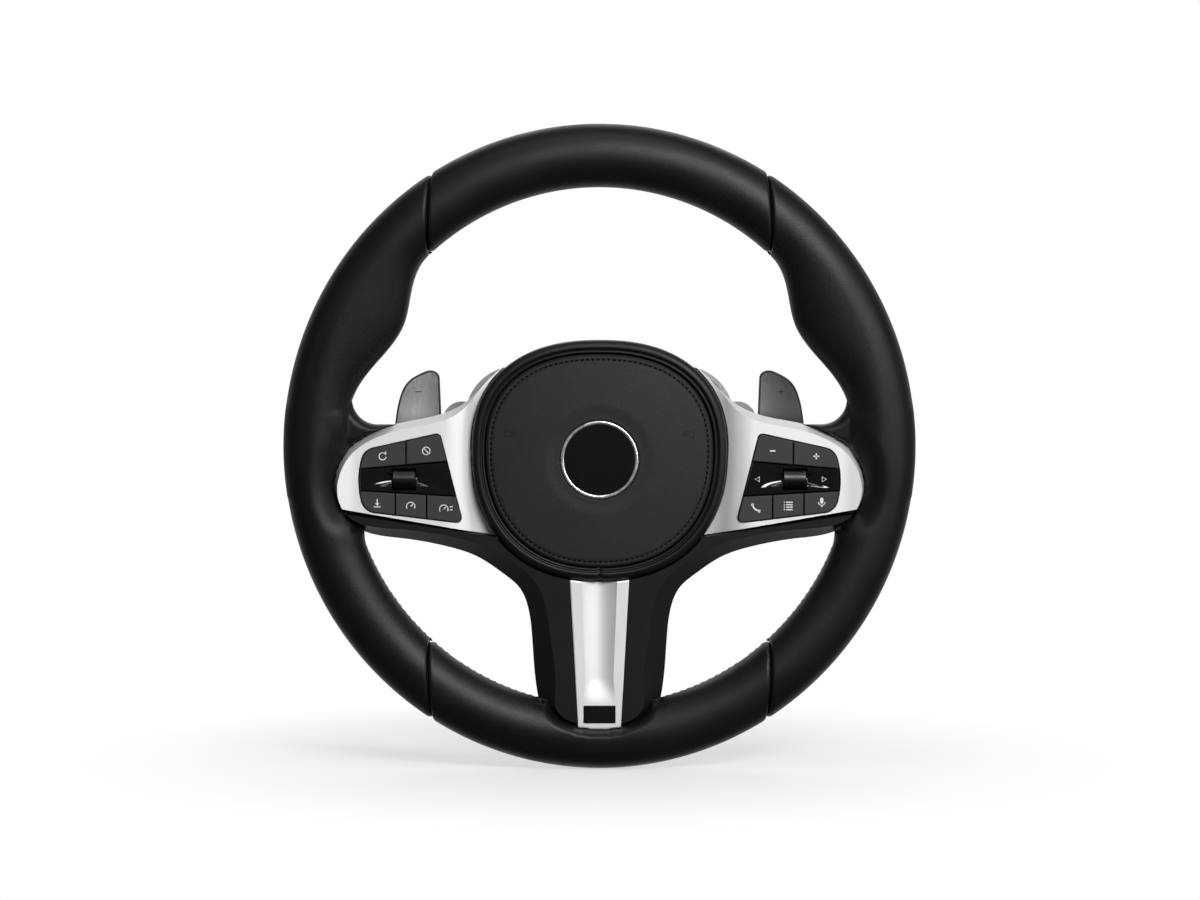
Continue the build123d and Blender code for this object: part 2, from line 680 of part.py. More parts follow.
# Rocker around the roller, on two pivot ribs
roller_room = block(
    ROLLER_X - ROLLER_WIDTH / 2 - ROLLER_GAP,
    ROLLER_X + ROLLER_WIDTH / 2 + ROLLER_GAP,
    ROLLER_Z - ROLLER_RADIUS - ROLLER_GAP,
    ROLLER_Z + ROLLER_RADIUS + ROLLER_GAP,
)
rocker = rounded_front(slab(rocker_face, KEY_BACK, ROCKER_FACE), KEY_EDGE)
rocker = rocker - Pos(ROLLER_X, -ROCKER_FACE - ROCKER_SCOOP + 1.0, ROLLER_Z) * Sphere(ROCKER_SCOOP)
rocker = rocker - slab(roller_room, 0, 100)
cheek_out = ROLLER_WIDTH / 2 + 2.6
cheek_room = block(ROLLER_X - cheek_out - 0.8, ROLLER_X + cheek_out + 0.8, ROLLER_Z - 3, ROLLER_Z + 3)
rocker = rocker - slab(cheek_room, 0, 59.9)
for side_z in (-1, 1):
    rib_z = ROLLER_Z + side_z * (ROLLER_RADIUS + 1.0)
    rib_plane = Plane(origin=at_depth(ROLLER_X, PIVOT_DEPTH, rib_z), z_dir=(0, 0, 1))
    rocker = rocker + extrude(rib_plane * Circle(PIVOT_RADIUS), amount=0.5, both=True)
    seat = slab(block(ROLLER_X - 2.2, ROLLER_X + 2.2, rib_z - 0.6, rib_z + 0.6), FRAME_FRONT, PIVOT_DEPTH)
    frame = frame + seat - extrude(rib_plane * Circle(PIVOT_RADIUS + RUNNING), amount=2, both=True)
for side_x in (-1, 1):
    foot_x = ROLLER_X + side_x * 17.5
    rocker = rocker + slab(Pos(foot_x, ROLLER_Z) * Rectangle(4, 6), STEM_BACK, KEY_BACK)
    frame = frame - slab(Pos(foot_x, ROLLER_Z) * Rectangle(5.2, 6.8), FRAME_BACK - 1, FRAME_FRONT + 1)
    mat = mat + slab(disc(foot_x, ROLLER_Z, DOME_RADIUS), mat_front, mat_front + 0.6)
    cheek_x = ROLLER_X + side_x * (cheek_out - 1.3)
    cheek = block(cheek_x - 0.9, cheek_x + 0.9, ROLLER_Z - 2.4, ROLLER_Z + 2.4)
    frame = frame + slab(cheek, FRAME_FRONT, ROLLER_DEPTH + 1.5)
frame = frame - slab(roller_room, FRAME_BACK - 1, FRAME_FRONT)
axle_start = at_depth(ROLLER_X - cheek_out + 0.9, ROLLER_DEPTH, ROLLER_Z)
axle_plane = Plane(origin=axle_start, z_dir=(1, 0, 0))
axle = extrude(axle_plane * Circle(AXLE_RADIUS), amount=2 * cheek_out - 1.8)
frame = frame - axle
roller_start = at_depth(ROLLER_X - ROLLER_WIDTH / 2, ROLLER_DEPTH, ROLLER_Z)
roller_plane = Plane(origin=roller_start, z_dir=(1, 0, 0))
roller = extrude(roller_plane * Circle(ROLLER_RADIUS), amount=ROLLER_WIDTH)
roller = chamfer(roller.edges(), 0.6)
rib_face = Rectangle(ROLLER_RIB_HEIGHT * 2, ROLLER_RIB_HEIGHT)
grooves = [
    Rot(0, 0, step * 360 / ROLLER_RIBS) * Pos(ROLLER_RADIUS, 0) * rib_face for step in range(ROLLER_RIBS)
]
grooves = Sketch() + grooves
roller = roller - Pos(1.6, 0, 0) * extrude(roller_plane * grooves, amount=ROLLER_WIDTH - 3.2)
roller = roller - extrude(roller_plane * Circle(AXLE_RADIUS + RUNNING), amount=ROLLER_WIDTH)
pair("rocker", rocker)
pair("roller", roller)
pair("roller_axle", axle)
pair("switch_frame", frame)
pair("switch_tray", tray)
pair("switch_board", board)
pair("dome_mat", mat)

# Shift paddles with their housings, pins and return springs
BLADE_POINTS = [
    (95.2, 39.0),
    (96.8, 42.6),
    (100.5, 44.0),
    (106.0, 42.4),
    (111.5, 39.4),
    (115.6, 35.2),
    (118.4, 29.0),
    (121.3, 14.0),
    (122.4, -2.0),
    (119.5, -17.0),
    (108.0, -24.0),
    (97.0, -21.5),
    (93.0, -14.0),
]
blade_curve = Spline(*BLADE_POINTS)
blade_face = make_face([blade_curve, Line(blade_curve @ 1, blade_curve @ 0)])
bend = Pos(PADDLE_AXIS_X + 10, -PADDLE_AXIS_DEPTH - BLADE_BEND + 1.5, -60) * (
    Cylinder(BLADE_BEND + BLADE_THICKNESS, 140, align=(Align.CENTER, Align.CENTER, Align.MIN))
    - Cylinder(BLADE_BEND, 140, align=(Align.CENTER, Align.CENTER, Align.MIN))
)
blade = slab(blade_face, 0, PADDLE_AXIS_DEPTH + 20) & bend
blade = chamfer(blade.edges().sort_by(Axis.Y)[:2], BLADE_EDGE)
knuckle_plane = Plane(origin=at_depth(PADDLE_AXIS_X, PADDLE_AXIS_DEPTH, KNUCKLE_LOW), z_dir=(0, 0, 1))
knuckle = extrude(knuckle_plane * Circle(KNUCKLE_RADIUS), amount=KNUCKLE_HIGH - KNUCKLE_LOW)
reach = block(PADDLE_AXIS_X, 98, KNUCKLE_LOW, KNUCKLE_HIGH)
paddle = blade + knuckle + slab(reach, PADDLE_AXIS_DEPTH - 3.2, PADDLE_AXIS_DEPTH + 1.2)
paddle = paddle - extrude(knuckle_plane * Circle(PADDLE_PIN + 0.05), amount=KNUCKLE_HIGH - KNUCKLE_LOW)
pair("paddle", paddle)

housing_low = HOUSING_LOW + HOUSING_RADIUS
housing_high = HOUSING_HIGH - HOUSING_RADIUS
housing_face = block(HOUSING_X - HOUSING_RADIUS, HOUSING_X + HOUSING_RADIUS, housing_low, housing_high)
housing_face = housing_face + disc(HOUSING_X, housing_low, HOUSING_RADIUS)
housing_face = housing_face + disc(HOUSING_X, housing_high, HOUSING_RADIUS)
housing = slab(housing_face, HOUSING_BACK, REAR_ARM_BACK)
housing = fillet(housing.faces().sort_by(Axis.Y)[-1].edges(), 2)
knuckle_room = block(HOUSING_X - 7, 120, KNUCKLE_LOW - 0.3, KNUCKLE_HIGH + 0.3)
housing = housing - slab(knuckle_room, 0, REAR_ARM_BACK - 2)
pin_plane = Plane(origin=at_depth(PADDLE_AXIS_X, PADDLE_AXIS_DEPTH, KNUCKLE_LOW - 7), z_dir=(0, 0, 1))
pin = extrude(pin_plane * Circle(PADDLE_PIN), amount=KNUCKLE_HIGH - KNUCKLE_LOW + 14)
housing = housing - pin
pair("paddle_housing", housing)
pair("paddle_pin", pin)
spring_foot = PADDLE_AXIS_DEPTH + 1.2 + SPRING_WIRE + 0.1
spring_top = REAR_ARM_BACK - 2 - SPRING_WIRE - 0.1
spring_z = (KNUCKLE_LOW + KNUCKLE_HIGH) / 2
spring_place = at_depth(SPRING_X, spring_foot, spring_z)
pair("paddle_spring", coil(spring_place, SPRING_COIL, SPRING_WIRE, spring_top - spring_foot, 3))

# Airbag module
flange_back = BAND_BACK - FLANGE_WALL
band = slab(egg(0), BAND_BACK, BAND_FRONT) - slab(egg(BAND_WIDTH), 0, 100)
band = fillet(band.faces().sort_by(Axis.Y)[0].edges(), BAND_ROUND)
parts["airbag_band"] = band

cover_inset = BAND_WIDTH + BAND_GAP
shell = slab(egg(cover_inset), BAND_BACK, COVER_APEX + 5) & ball(COVER_APEX, COVER_CROWN, EMBLEM_Z)
shell = fillet(shell.edges().group_by(Axis.Y)[0], COVER_ROUND)
room = slab(egg(cover_inset + COVER_WALL), 0, COVER_APEX + 5)
room = room & ball(COVER_APEX - COVER_WALL - 1, COVER_CROWN, EMBLEM_Z)
room = room - slab(disc(0, EMBLEM_Z, EMBLEM_RADIUS + 3), EMBLEM_FLOOR - COVER_WALL, 100)
shell = shell - room
dish_depth = COVER_APEX - DISH_RADIUS ** 2 / (2 * COVER_CROWN)
dish_low = front(dish_depth - DISH_DROP) * disc(0, EMBLEM_Z, EMBLEM_RADIUS + 1)
dish_high = front(dish_depth) * disc(0, EMBLEM_Z, DISH_RADIUS)
dish_top = front(dish_depth + 4) * disc(0, EMBLEM_Z, DISH_RADIUS)
shell = shell - loft([dish_low, dish_high, dish_top], ruled=True)
shell = shell - slab(disc(0, EMBLEM_Z, EMBLEM_RADIUS + 0.3), EMBLEM_FLOOR, 100)
parts["airbag_cover"] = shell

ring_face = disc(0, EMBLEM_Z, EMBLEM_RADIUS) - disc(0, EMBLEM_Z, EMBLEM_RADIUS - EMBLEM_RING)
ring = slab(ring_face, EMBLEM_FLOOR, dish_depth - DISH_DROP + 0.9)
parts["emblem_ring"] = fillet(ring.faces().sort_by(Axis.Y)[0].edges(), 0.8)
emblem = slab(disc(0, EMBLEM_Z, EMBLEM_RADIUS - EMBLEM_RING - 0.05), EMBLEM_FLOOR, COVER_APEX)
parts["emblem_disc"] = emblem & ball(dish_depth - DISH_DROP + 1.5, EMBLEM_CROWN, EMBLEM_Z)

housing = slab(egg(FLANGE_INSET), flange_back, BAND_BACK)
housing = housing + slab(egg(TRAY_INSET) - egg(TRAY_INSET + FLANGE_WALL), flange_back, TRAY_FRONT)
housing = housing - slab(disc(0, EMBLEM_Z, INFLATOR_RADIUS + 0.3), 0, 100)
parts["airbag_housing"] = housing
inflator = slab(disc(0, EMBLEM_Z, INFLATOR_RADIUS), INFLATOR_BACK, INFLATOR_FRONT)
inflator = fillet(inflator.edges().filter_by(GeomType.CIRCLE), 3)
inflator = inflator + slab(disc(0, EMBLEM_Z, INFLATOR_RADIUS + 6), flange_back - FLANGE_WALL, flange_back)
parts["inflator"] = inflator
cushion = slab(egg(TRAY_INSET + FLANGE_WALL + 0.4), INFLATOR_FRONT + 0.1, EMBLEM_FLOOR - COVER_WALL - 0.6)
parts["airbag_cushion"] = cushion & ball(COVER_APEX - COVER_WALL - 1.6, COVER_CROWN, EMBLEM_Z)

pins = []
coils = []
for x, z in PIN_PLACES:
    stud = slab(disc(x, z, PIN_RADIUS), PIN_BACK, flange_back)
    pins.append(chamfer(stud.faces().sort_by(Axis.Y)[-1].edges(), 0.8))
    foot = ARM_FRONT + HORN_WIRE + 0.1
    height = flange_back - HORN_WIRE - 0.1 - foot
    coils.append(coil((x, -foot, z), HORN_COIL, HORN_WIRE, height, 4))
parts["airbag_pins"] = Compound(children=[stud.solid() for stud in pins])
parts["horn_springs"] = Compound(children=[spring.solid() for spring in coils])

os.makedirs("parts", exist_ok=True)
for name, shape in parts.items():
    export_step(shape, "parts/" + name + ".step")
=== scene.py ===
"""Dresses a car steering wheel: leather, stitching, paint, plastics and symbols over its solids."""

import json
import math
from functools import partial

import bmesh
import bpy
import numpy as np
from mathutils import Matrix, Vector
from mathutils.bvhtree import BVHTree


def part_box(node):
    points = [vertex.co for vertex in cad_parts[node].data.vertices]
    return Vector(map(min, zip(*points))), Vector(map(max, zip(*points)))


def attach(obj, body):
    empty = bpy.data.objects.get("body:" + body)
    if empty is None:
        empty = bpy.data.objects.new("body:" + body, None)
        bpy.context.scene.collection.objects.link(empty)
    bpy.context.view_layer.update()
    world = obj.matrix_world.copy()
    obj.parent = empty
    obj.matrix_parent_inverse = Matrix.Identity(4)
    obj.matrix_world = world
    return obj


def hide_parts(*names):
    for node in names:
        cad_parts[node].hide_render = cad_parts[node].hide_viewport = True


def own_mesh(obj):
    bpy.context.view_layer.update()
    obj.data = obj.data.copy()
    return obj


bl_info = {
    "name": "Car Steering Wheel",
    "version": (1, 0, 0),
    "blender": (4, 5, 0),
    "location": "View3D > Sidebar > Wheel",
    "description": "Dresses a steering wheel in leather, stitching, paint and key symbols",
    "category": "Object",
}

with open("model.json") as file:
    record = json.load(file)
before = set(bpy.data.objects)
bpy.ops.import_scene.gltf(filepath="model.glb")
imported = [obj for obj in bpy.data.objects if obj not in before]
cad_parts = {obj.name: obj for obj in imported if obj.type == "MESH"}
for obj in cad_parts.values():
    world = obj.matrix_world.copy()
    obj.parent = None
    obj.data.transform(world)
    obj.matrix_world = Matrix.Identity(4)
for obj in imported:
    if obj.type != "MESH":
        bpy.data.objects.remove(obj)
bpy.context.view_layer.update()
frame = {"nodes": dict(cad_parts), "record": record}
NODES = frame["nodes"]
SIDES = {"left": -1.0, "right": 1.0}
FULL_TURN = 2 * math.pi
WHITE = (1.0, 1.0, 1.0, 1.0)
SEEN_RAYS = ("Is Camera Ray", "Is Glossy Ray", "Is Transmission Ray")


def length(name, description, default):
    """A size in metres that a user can change."""
    return bpy.props.FloatProperty(
        name=name, description=description, default=default, unit="LENGTH", precision=5
    )


def angle(name, description, default):
    """An angle in degrees that a user can change."""
    return bpy.props.FloatProperty(name=name, description=description, default=default)


def colour(name, description, default):
    """A paint, leather or plastic colour that a user can change."""
    return bpy.props.FloatVectorProperty(
        name=name, description=description, default=default, subtype="COLOR", size=3, min=0.0, max=1.0
    )


class WheelRimSettings(bpy.types.PropertyGroup):
    """Sizes of the leather rim"""

    mid_x: length("Middle width", "Half width of the rim's middle line", 0.16645)
    mid_z: length("Middle height", "Half height of the rim's middle line", 0.17035)
    half_width: length("Half width", "Half the grip's width seen from the front", 0.01855)
    half_depth: length("Half depth", "Half the grip's depth from front to back", 0.0165)
    depth: length("Depth", "Distance of the rim's middle ahead of the hub's rear face", 0.054)
    thumb_reach: length("Thumb rest", "How far the thumb rests stand in from the grip", 0.0144)
    thumb_angle: angle("Thumb angle", "Place of the thumb rests, in degrees above the side spokes", 29.4)
    seam_x: length("Seam place", "Distance of the four cross seams from the middle", 0.0985)
    seam_bow: length("Seam bow", "How far a seam bows outwards at the front", 0.0016)
    seam_gap: length("Seam gap", "Half the gap between two leather pieces", 0.00035)
    seam_roll: length("Seam roll", "Width of the rolled edge beside a seam", 0.0026)
    seam_sink: length("Seam sink", "Depth of the rolled edge at a seam", 0.0021)
    floor: length("Pocket floor", "Depth of the leather under the trims and the lower spoke", 0.0555)
    trim_lip: length("Trim lip", "Height of the leather's edge over the pocket floor at a trim", 0.0052)
    spoke_lip: length(
        "Spoke lip", "Height of the leather's edge over the pocket floor at the lower spoke", 0.0058
    )
    trim_roll: length("Trim roll", "Width over which the leather rolls down to a trim", 0.017)
    spoke_roll: length("Spoke roll", "Width over which the leather rolls down to the lower spoke", 0.0045)
    heel_reach: length("Heel", "How far the grip stands in just below the side spokes", 0.006)
    wall: length("Leather wall", "Thickness of the leather", 0.0012)
    step: length("Mesh step", "Distance between two mesh points along the rim", 0.0011)


class WheelAirbagSettings(bpy.types.PropertyGroup):
    """Sizes of the airbag cover and the band around it"""

    half_width: length("Half width", "Half the module's width", 0.0747)
    top: length("Top", "Height of the module's upper edge above the column axis", 0.0627)
    low: length("Low edge", "Height of the module's lower edge", -0.078)
    wide_z: length("Widest height", "Height at which the module is widest", -0.002)
    band: length("Band", "Width of the leather band", 0.0076)
    band_back: length("Band back", "Depth of the band's rear edge", 0.052)
    band_front: length("Band front", "Depth of the band's front", 0.066)
    bead: length("Bead", "Radius of the bead at the band's inner edge", 0.0009)
    gap: length("Groove", "Gap between band and cover", 0.0006)
    apex: length("Apex", "Depth of the cover's foremost point", 0.072)
    crown: length("Crown", "Radius of the cover's crowned front", 0.33)
    roll: length("Rolled edge", "Radius of the cover's rolled edge", 0.0034)
    emblem_z: length("Emblem height", "Height of the emblem's middle", -0.0069)
    emblem: length("Emblem seat", "Radius of the recess for the emblem", 0.0231)
    emblem_floor: length("Emblem floor", "Depth of the recess's floor", 0.0676)
    dish: length("Dish", "Radius of the shallow dish round the emblem", 0.032)
    dish_drop: length("Dish drop", "Depth of the dish", 0.0013)
    stitch_inset: length("Stitch inset", "Distance of the stitches from the cover's edge", 0.0031)


class WheelStitchSettings(bpy.types.PropertyGroup):
    """Sizes of the sewing thread"""

    cover_spacing: length("Cover spacing", "Distance from stitch to stitch on the airbag cover", 0.0031)
    cover_length: length("Cover stitch", "Length of a stitch on the airbag cover", 0.0022)
    rim_spacing: length("Rim spacing", "Distance from stitch to stitch round the rim", 0.0042)
    rim_length: length("Rim stitch", "Length of a stitch round the rim", 0.0037)
    thread: length("Thread", "Radius of the thread", 0.00046)


class WheelRockerSettings(bpy.types.PropertyGroup):
    """Sizes of the gloss rockers around the rollers"""

    face: length("Face", "Depth of the rocker's front", 0.0616)
    back: length("Back", "Depth of the rocker's rear face", 0.0586)
    middle_x: length("Middle", "Distance of the roller's middle from the column axis", 0.1142)
    middle_z: length("Height", "Height of the roller's middle", -0.0186)
    room_width: length("Room width", "Half width of the room for the roller", 0.00715)
    room_height: length("Room height", "Half height of the room for the roller", 0.0064)
    edge: length("Edge", "Radius of the rounded front edge", 0.0006)
    inner_x: length("Inner end", "Distance of the rows' inner ends from the column axis", 0.0853)
    run: length("Row length", "Length of the rows", 0.055)
    top_inner: length("Inner top", "Height of the upper edge at the inner end", -0.00815)
    top_outer: length("Outer top", "Height of the upper edge at the outer end", -0.01295)
    low_inner: length("Inner bottom", "Height of the lower edge at the inner end", -0.02815)
    low_outer: length("Outer bottom", "Height of the lower edge at the outer end", -0.02495)
    scoop: length("Scoop", "Depth of the finger scoops beside the roller", 0.0024)
    scoop_run: length("Scoop run", "Length of the scoops", 0.0155)


class WheelInsertSettings(bpy.types.PropertyGroup):
    """Sizes of the silver inlay of the lower spoke"""

    face: length("Face", "Depth of the inlay's front", 0.0626)
    back: length("Back", "Depth of the inlay's rear face", 0.0561)
    edge: length("Edge", "Radius of the rounded front edge", 0.0003)
    plate_half: length("Plate half width", "Half width of the plate's recess", 0.00945)
    plate_low: length("Plate bottom", "Height of the recess's lower edge", -0.16175)
    plate_top: length("Plate top", "Height of the recess's upper edge", -0.15125)
    scoop_top: length("Scoop top", "Height at which the scoop is deepest", -0.0775)
    scoop_turn: length("Scoop turn", "Height at which the scoop begins to run out", -0.134)
    scoop_wide: length("Scoop width", "Half width of the scoop at its top", 0.0105)
    scoop_narrow: length("Scoop end width", "Half width of the scoop where it begins to run out", 0.0082)
    scoop_deep: length("Scoop depth", "Depth of the scoop at its top", 0.0040)
    scoop_shallow: length("Scoop end depth", "Depth of the scoop where it begins to run out", 0.0024)


class WheelSpringSettings(bpy.types.PropertyGroup):
    """Places and travels of the coil springs"""

    horn_foot: length("Horn foot", "Place of the horn springs' fixed ends along the column", -0.038)
    horn_travel: length("Horn travel", "Travel of the horn springs' free ends", 0.002)
    paddle_foot: length("Paddle foot", "Place of the paddle springs' fixed ends along the column", -0.025)
    paddle_travel: length("Paddle travel", "Travel of the paddle springs' free ends", 0.0008)


class WheelColourSettings(bpy.types.PropertyGroup):
    """Colours of the finishes"""

    rim: colour("Rim leather", "Black leather of the rim and the band", (0.0030, 0.0030, 0.0031))
    cover: colour("Cover leather", "Dark grey leather of the airbag cover", (0.022, 0.022, 0.0227))
    thread: colour("Thread", "Sewing thread", (0.0022, 0.0022, 0.0022))
    silver: colour("Silver", "Satin paint of the trims and the lower insert", (0.80, 0.805, 0.81))
    plastic: colour("Plastic", "Satin black mouldings", (0.0085, 0.0085, 0.0088))
    grey: colour("Rear plastic", "Satin grey moulding of the rear cover", (0.27, 0.265, 0.26))
    key: colour("Keys", "Matte plastic of the keys", (0.038, 0.038, 0.039))
    symbol: colour("Symbols", "Printed symbols", (0.62, 0.62, 0.62))
    paddle: colour("Paddles", "Satin metal of the shift paddles", (0.33, 0.33, 0.335))


class WheelStageSettings(bpy.types.PropertyGroup):
    """Camera and floor"""

    distance: length("Camera distance", "Distance from the camera to the rim", 2.2)
    elevation: angle("Elevation", "Height of the camera's line of sight, in degrees", 2.5)
    view_width: length("View width", "Width of the view at the rim", 0.7032)
    floor_z: length("Floor", "Height of the floor", -0.1891)
    floor_front: length("Floor front", "Place of the floor's front edge, below the picture", -0.6)


# Shader building


def add_node(tree, kind, settings=None, sockets=None, out=0):
    """Adds a node to a tree, sets it up, feeds its sockets and gives one of its outputs."""
    node = tree.nodes.new(kind)
    for key, value in (settings or {}).items():
        setattr(node, key, value)
    for key, value in (sockets or {}).items():
        if isinstance(value, Wire):
            tree.links.new(value.socket, node.inputs[key])
        else:
            node.inputs[key].default_value = value
    return Wire(tree, node.outputs[out]) if node.outputs else None


class Wire:
    """A socket that takes part in Python arithmetic."""

    def __init__(self, tree, socket):
        self.tree = tree
        self.socket = socket

    def math(self, operation, *values):
        return add_node(self.tree, "ShaderNodeMath", {"operation": operation}, dict(enumerate(values)))

    def most(self, other):
        return self.math("MAXIMUM", self, other)

    def least(self, other):
        return self.math("MINIMUM", self, other)

    def __add__(self, other):
        return self.math("ADD", self, other)

    def __radd__(self, other):
        return self.math("ADD", other, self)

    def __sub__(self, other):
        return self.math("SUBTRACT", self, other)

    def __rsub__(self, other):
        return self.math("SUBTRACT", other, self)

    def __mul__(self, other):
        return self.math("MULTIPLY", self, other)

    def __rmul__(self, other):
        return self.math("MULTIPLY", other, self)


class Finish:
    """A material that is built node by node."""

    def __init__(self, name):
        self.material = bpy.data.materials.new(name)
        self.material.use_nodes = True
        self.material.node_tree.nodes.clear()
        self.node = partial(add_node, self.material.node_tree)

    def place(self):
        """Object coordinates, in metres."""
        return self.node("ShaderNodeTexCoord", out="Object")

    def noise(self, place, size, detail=3.0, roughness=0.55):
        """Cloudy pattern whose lumps are about one size across, in metres."""
        sockets = {"Vector": place, "Scale": 1.0 / size, "Detail": detail, "Roughness": roughness}
        return self.node("ShaderNodeTexNoise", {"noise_dimensions": "3D"}, sockets)

    def cells(self, place, size, feature="DISTANCE_TO_EDGE"):
        """Cell pattern whose cells are about one size across, in metres."""
        return self.node("ShaderNodeTexVoronoi", {"feature": feature}, {"Vector": place, "Scale": 1.0 / size})

    def stretched(self, place, scale):
        """Coordinates stretched along the axes."""
        return self.node("ShaderNodeMapping", None, {"Vector": place, "Scale": scale})

    def ramp(self, value, low, high, to_low=0.0, to_high=1.0):
        """A value taken smoothly from one range to another."""
        sockets = {0: value, 1: low, 2: high, 3: to_low, 4: to_high}
        return self.node("ShaderNodeMapRange", {"interpolation_type": "SMOOTHSTEP"}, sockets)

    def tint(self, share, dark, light):
        """Colour between two others."""
        sockets = {0: share, 6: (*dark, 1.0), 7: (*light, 1.0)}
        return self.node("ShaderNodeMix", {"data_type": "RGBA"}, sockets, out=2)

    def bump(self, height, depth, strength=1.0):
        """Normal of a surface raised by a height pattern."""
        return self.node("ShaderNodeBump", None, {"Strength": strength, "Distance": depth, "Height": height})

    def end(self, shader):
        """Ends the material with a shader."""
        self.node("ShaderNodeOutputMaterial", None, {"Surface": shader})
        return self.material

    def surface(self, **sockets):
        """Main shader and output, with socket names written with underscores."""
        named = {key.replace("_", " "): value for key, value in sockets.items()}
        return self.end(self.node("ShaderNodeBsdfPrincipled", None, named))


def shade(rgb, share):
    """A colour made darker or lighter."""
    return tuple(min(1.0, channel * share) for channel in rgb)


def leather_finish(name, rgb, roughness, grain, depth, shine=0.12):
    """Leather with fine grain cells, pores and a little uneven sheen."""
    finish = Finish(name)
    place = finish.place()
    cells = finish.ramp(finish.cells(place, grain), 0.0, 0.22)
    pores = finish.noise(place, grain * 0.35, 2.0)
    cloud = finish.noise(place, 0.03, 4.0)
    height = cells * 0.75 + pores * 0.35
    return finish.surface(
        Base_Color=finish.tint(cloud * 0.7 + cells * 0.3, shade(rgb, 0.8), shade(rgb, 1.16)),
        Roughness=finish.ramp(cloud, 0.3, 0.7, roughness - 0.04, roughness + 0.05) - cells * 0.03,
        Specular_IOR_Level=shine,
        Normal=finish.bump(height, depth, 0.55),
    )


def moulded_finish(name, rgb, roughness, grain=0.0006, depth=0.00002, shine=0.16):
    """Moulded plastic with a fine spark-eroded grain."""
    finish = Finish(name)
    place = finish.place()
    spark = finish.noise(place, grain, 2.0, 0.6)
    cloud = finish.noise(place, 0.02, 3.0)
    return finish.surface(
        Base_Color=finish.tint(cloud, shade(rgb, 0.88), shade(rgb, 1.12)),
        Roughness=finish.ramp(cloud, 0.25, 0.75, roughness - 0.04, roughness + 0.04) + spark * 0.04,
        Specular_IOR_Level=shine,
        Normal=finish.bump(spark, depth, 0.6),
    )


def painted_finish(name, rgb, roughness):
    """Satin metallic paint with fine flakes under a clear coat."""
    finish = Finish(name)
    place = finish.place()
    flake = finish.cells(place, 0.00022, "F1")
    cloud = finish.noise(place, 0.04, 2.0)
    return finish.surface(
        Base_Color=finish.tint(flake * 0.6 + cloud * 0.4, shade(rgb, 0.95), shade(rgb, 1.05)),
        Metallic=0.7,
        Roughness=finish.ramp(cloud, 0.3, 0.7, roughness - 0.02, roughness + 0.03) + flake * 0.03,
        Coat_Weight=0.12,
        Coat_Roughness=0.25,
        Normal=finish.bump(flake, 0.000006, 0.3),
    )


EVEN = (1.0, 1.0, 1.0)


def metal_finish(name, rgb, roughness, stretch=EVEN, grain=0.0008, depth=0.00001):
    """Bare metal with a brushed, cast or turned surface."""
    finish = Finish(name)
    place = finish.stretched(finish.place(), stretch)
    lines = finish.noise(place, grain, 3.0, 0.65)
    cloud = finish.noise(finish.place(), 0.015, 3.0)
    return finish.surface(
        Base_Color=finish.tint(lines * 0.5 + cloud * 0.5, shade(rgb, 0.86), shade(rgb, 1.12)),
        Metallic=1.0,
        Roughness=finish.ramp(lines, 0.25, 0.75, roughness - 0.05, roughness + 0.07),
        Normal=finish.bump(lines, depth, 0.5),
    )


def gloss_finish(name, rgb):
    """Deep gloss black with a trace of polishing haze."""
    finish = Finish(name)
    haze = finish.noise(finish.place(), 0.008, 4.0)
    return finish.surface(
        Base_Color=finish.tint(haze, shade(rgb, 0.9), shade(rgb, 1.1)),
        Roughness=finish.ramp(haze, 0.35, 0.75, 0.07, 0.12),
        Coat_Weight=0.5,
        Coat_Roughness=0.04,
    )


def woven_finish(name, rgb):
    """Coarse plain weave of the folded cushion."""
    finish = Finish(name)
    sockets = {"Vector": finish.place(), "Scale": 420.0}
    warp, weft = (finish.node("ShaderNodeTexWave", {"bands_direction": axis}, sockets) for axis in "XZ")
    weave = warp * weft
    return finish.surface(
        Base_Color=finish.tint(weave, shade(rgb, 0.75), rgb),
        Roughness=0.85,
        Normal=finish.bump(weave, 0.0002, 0.6),
    )


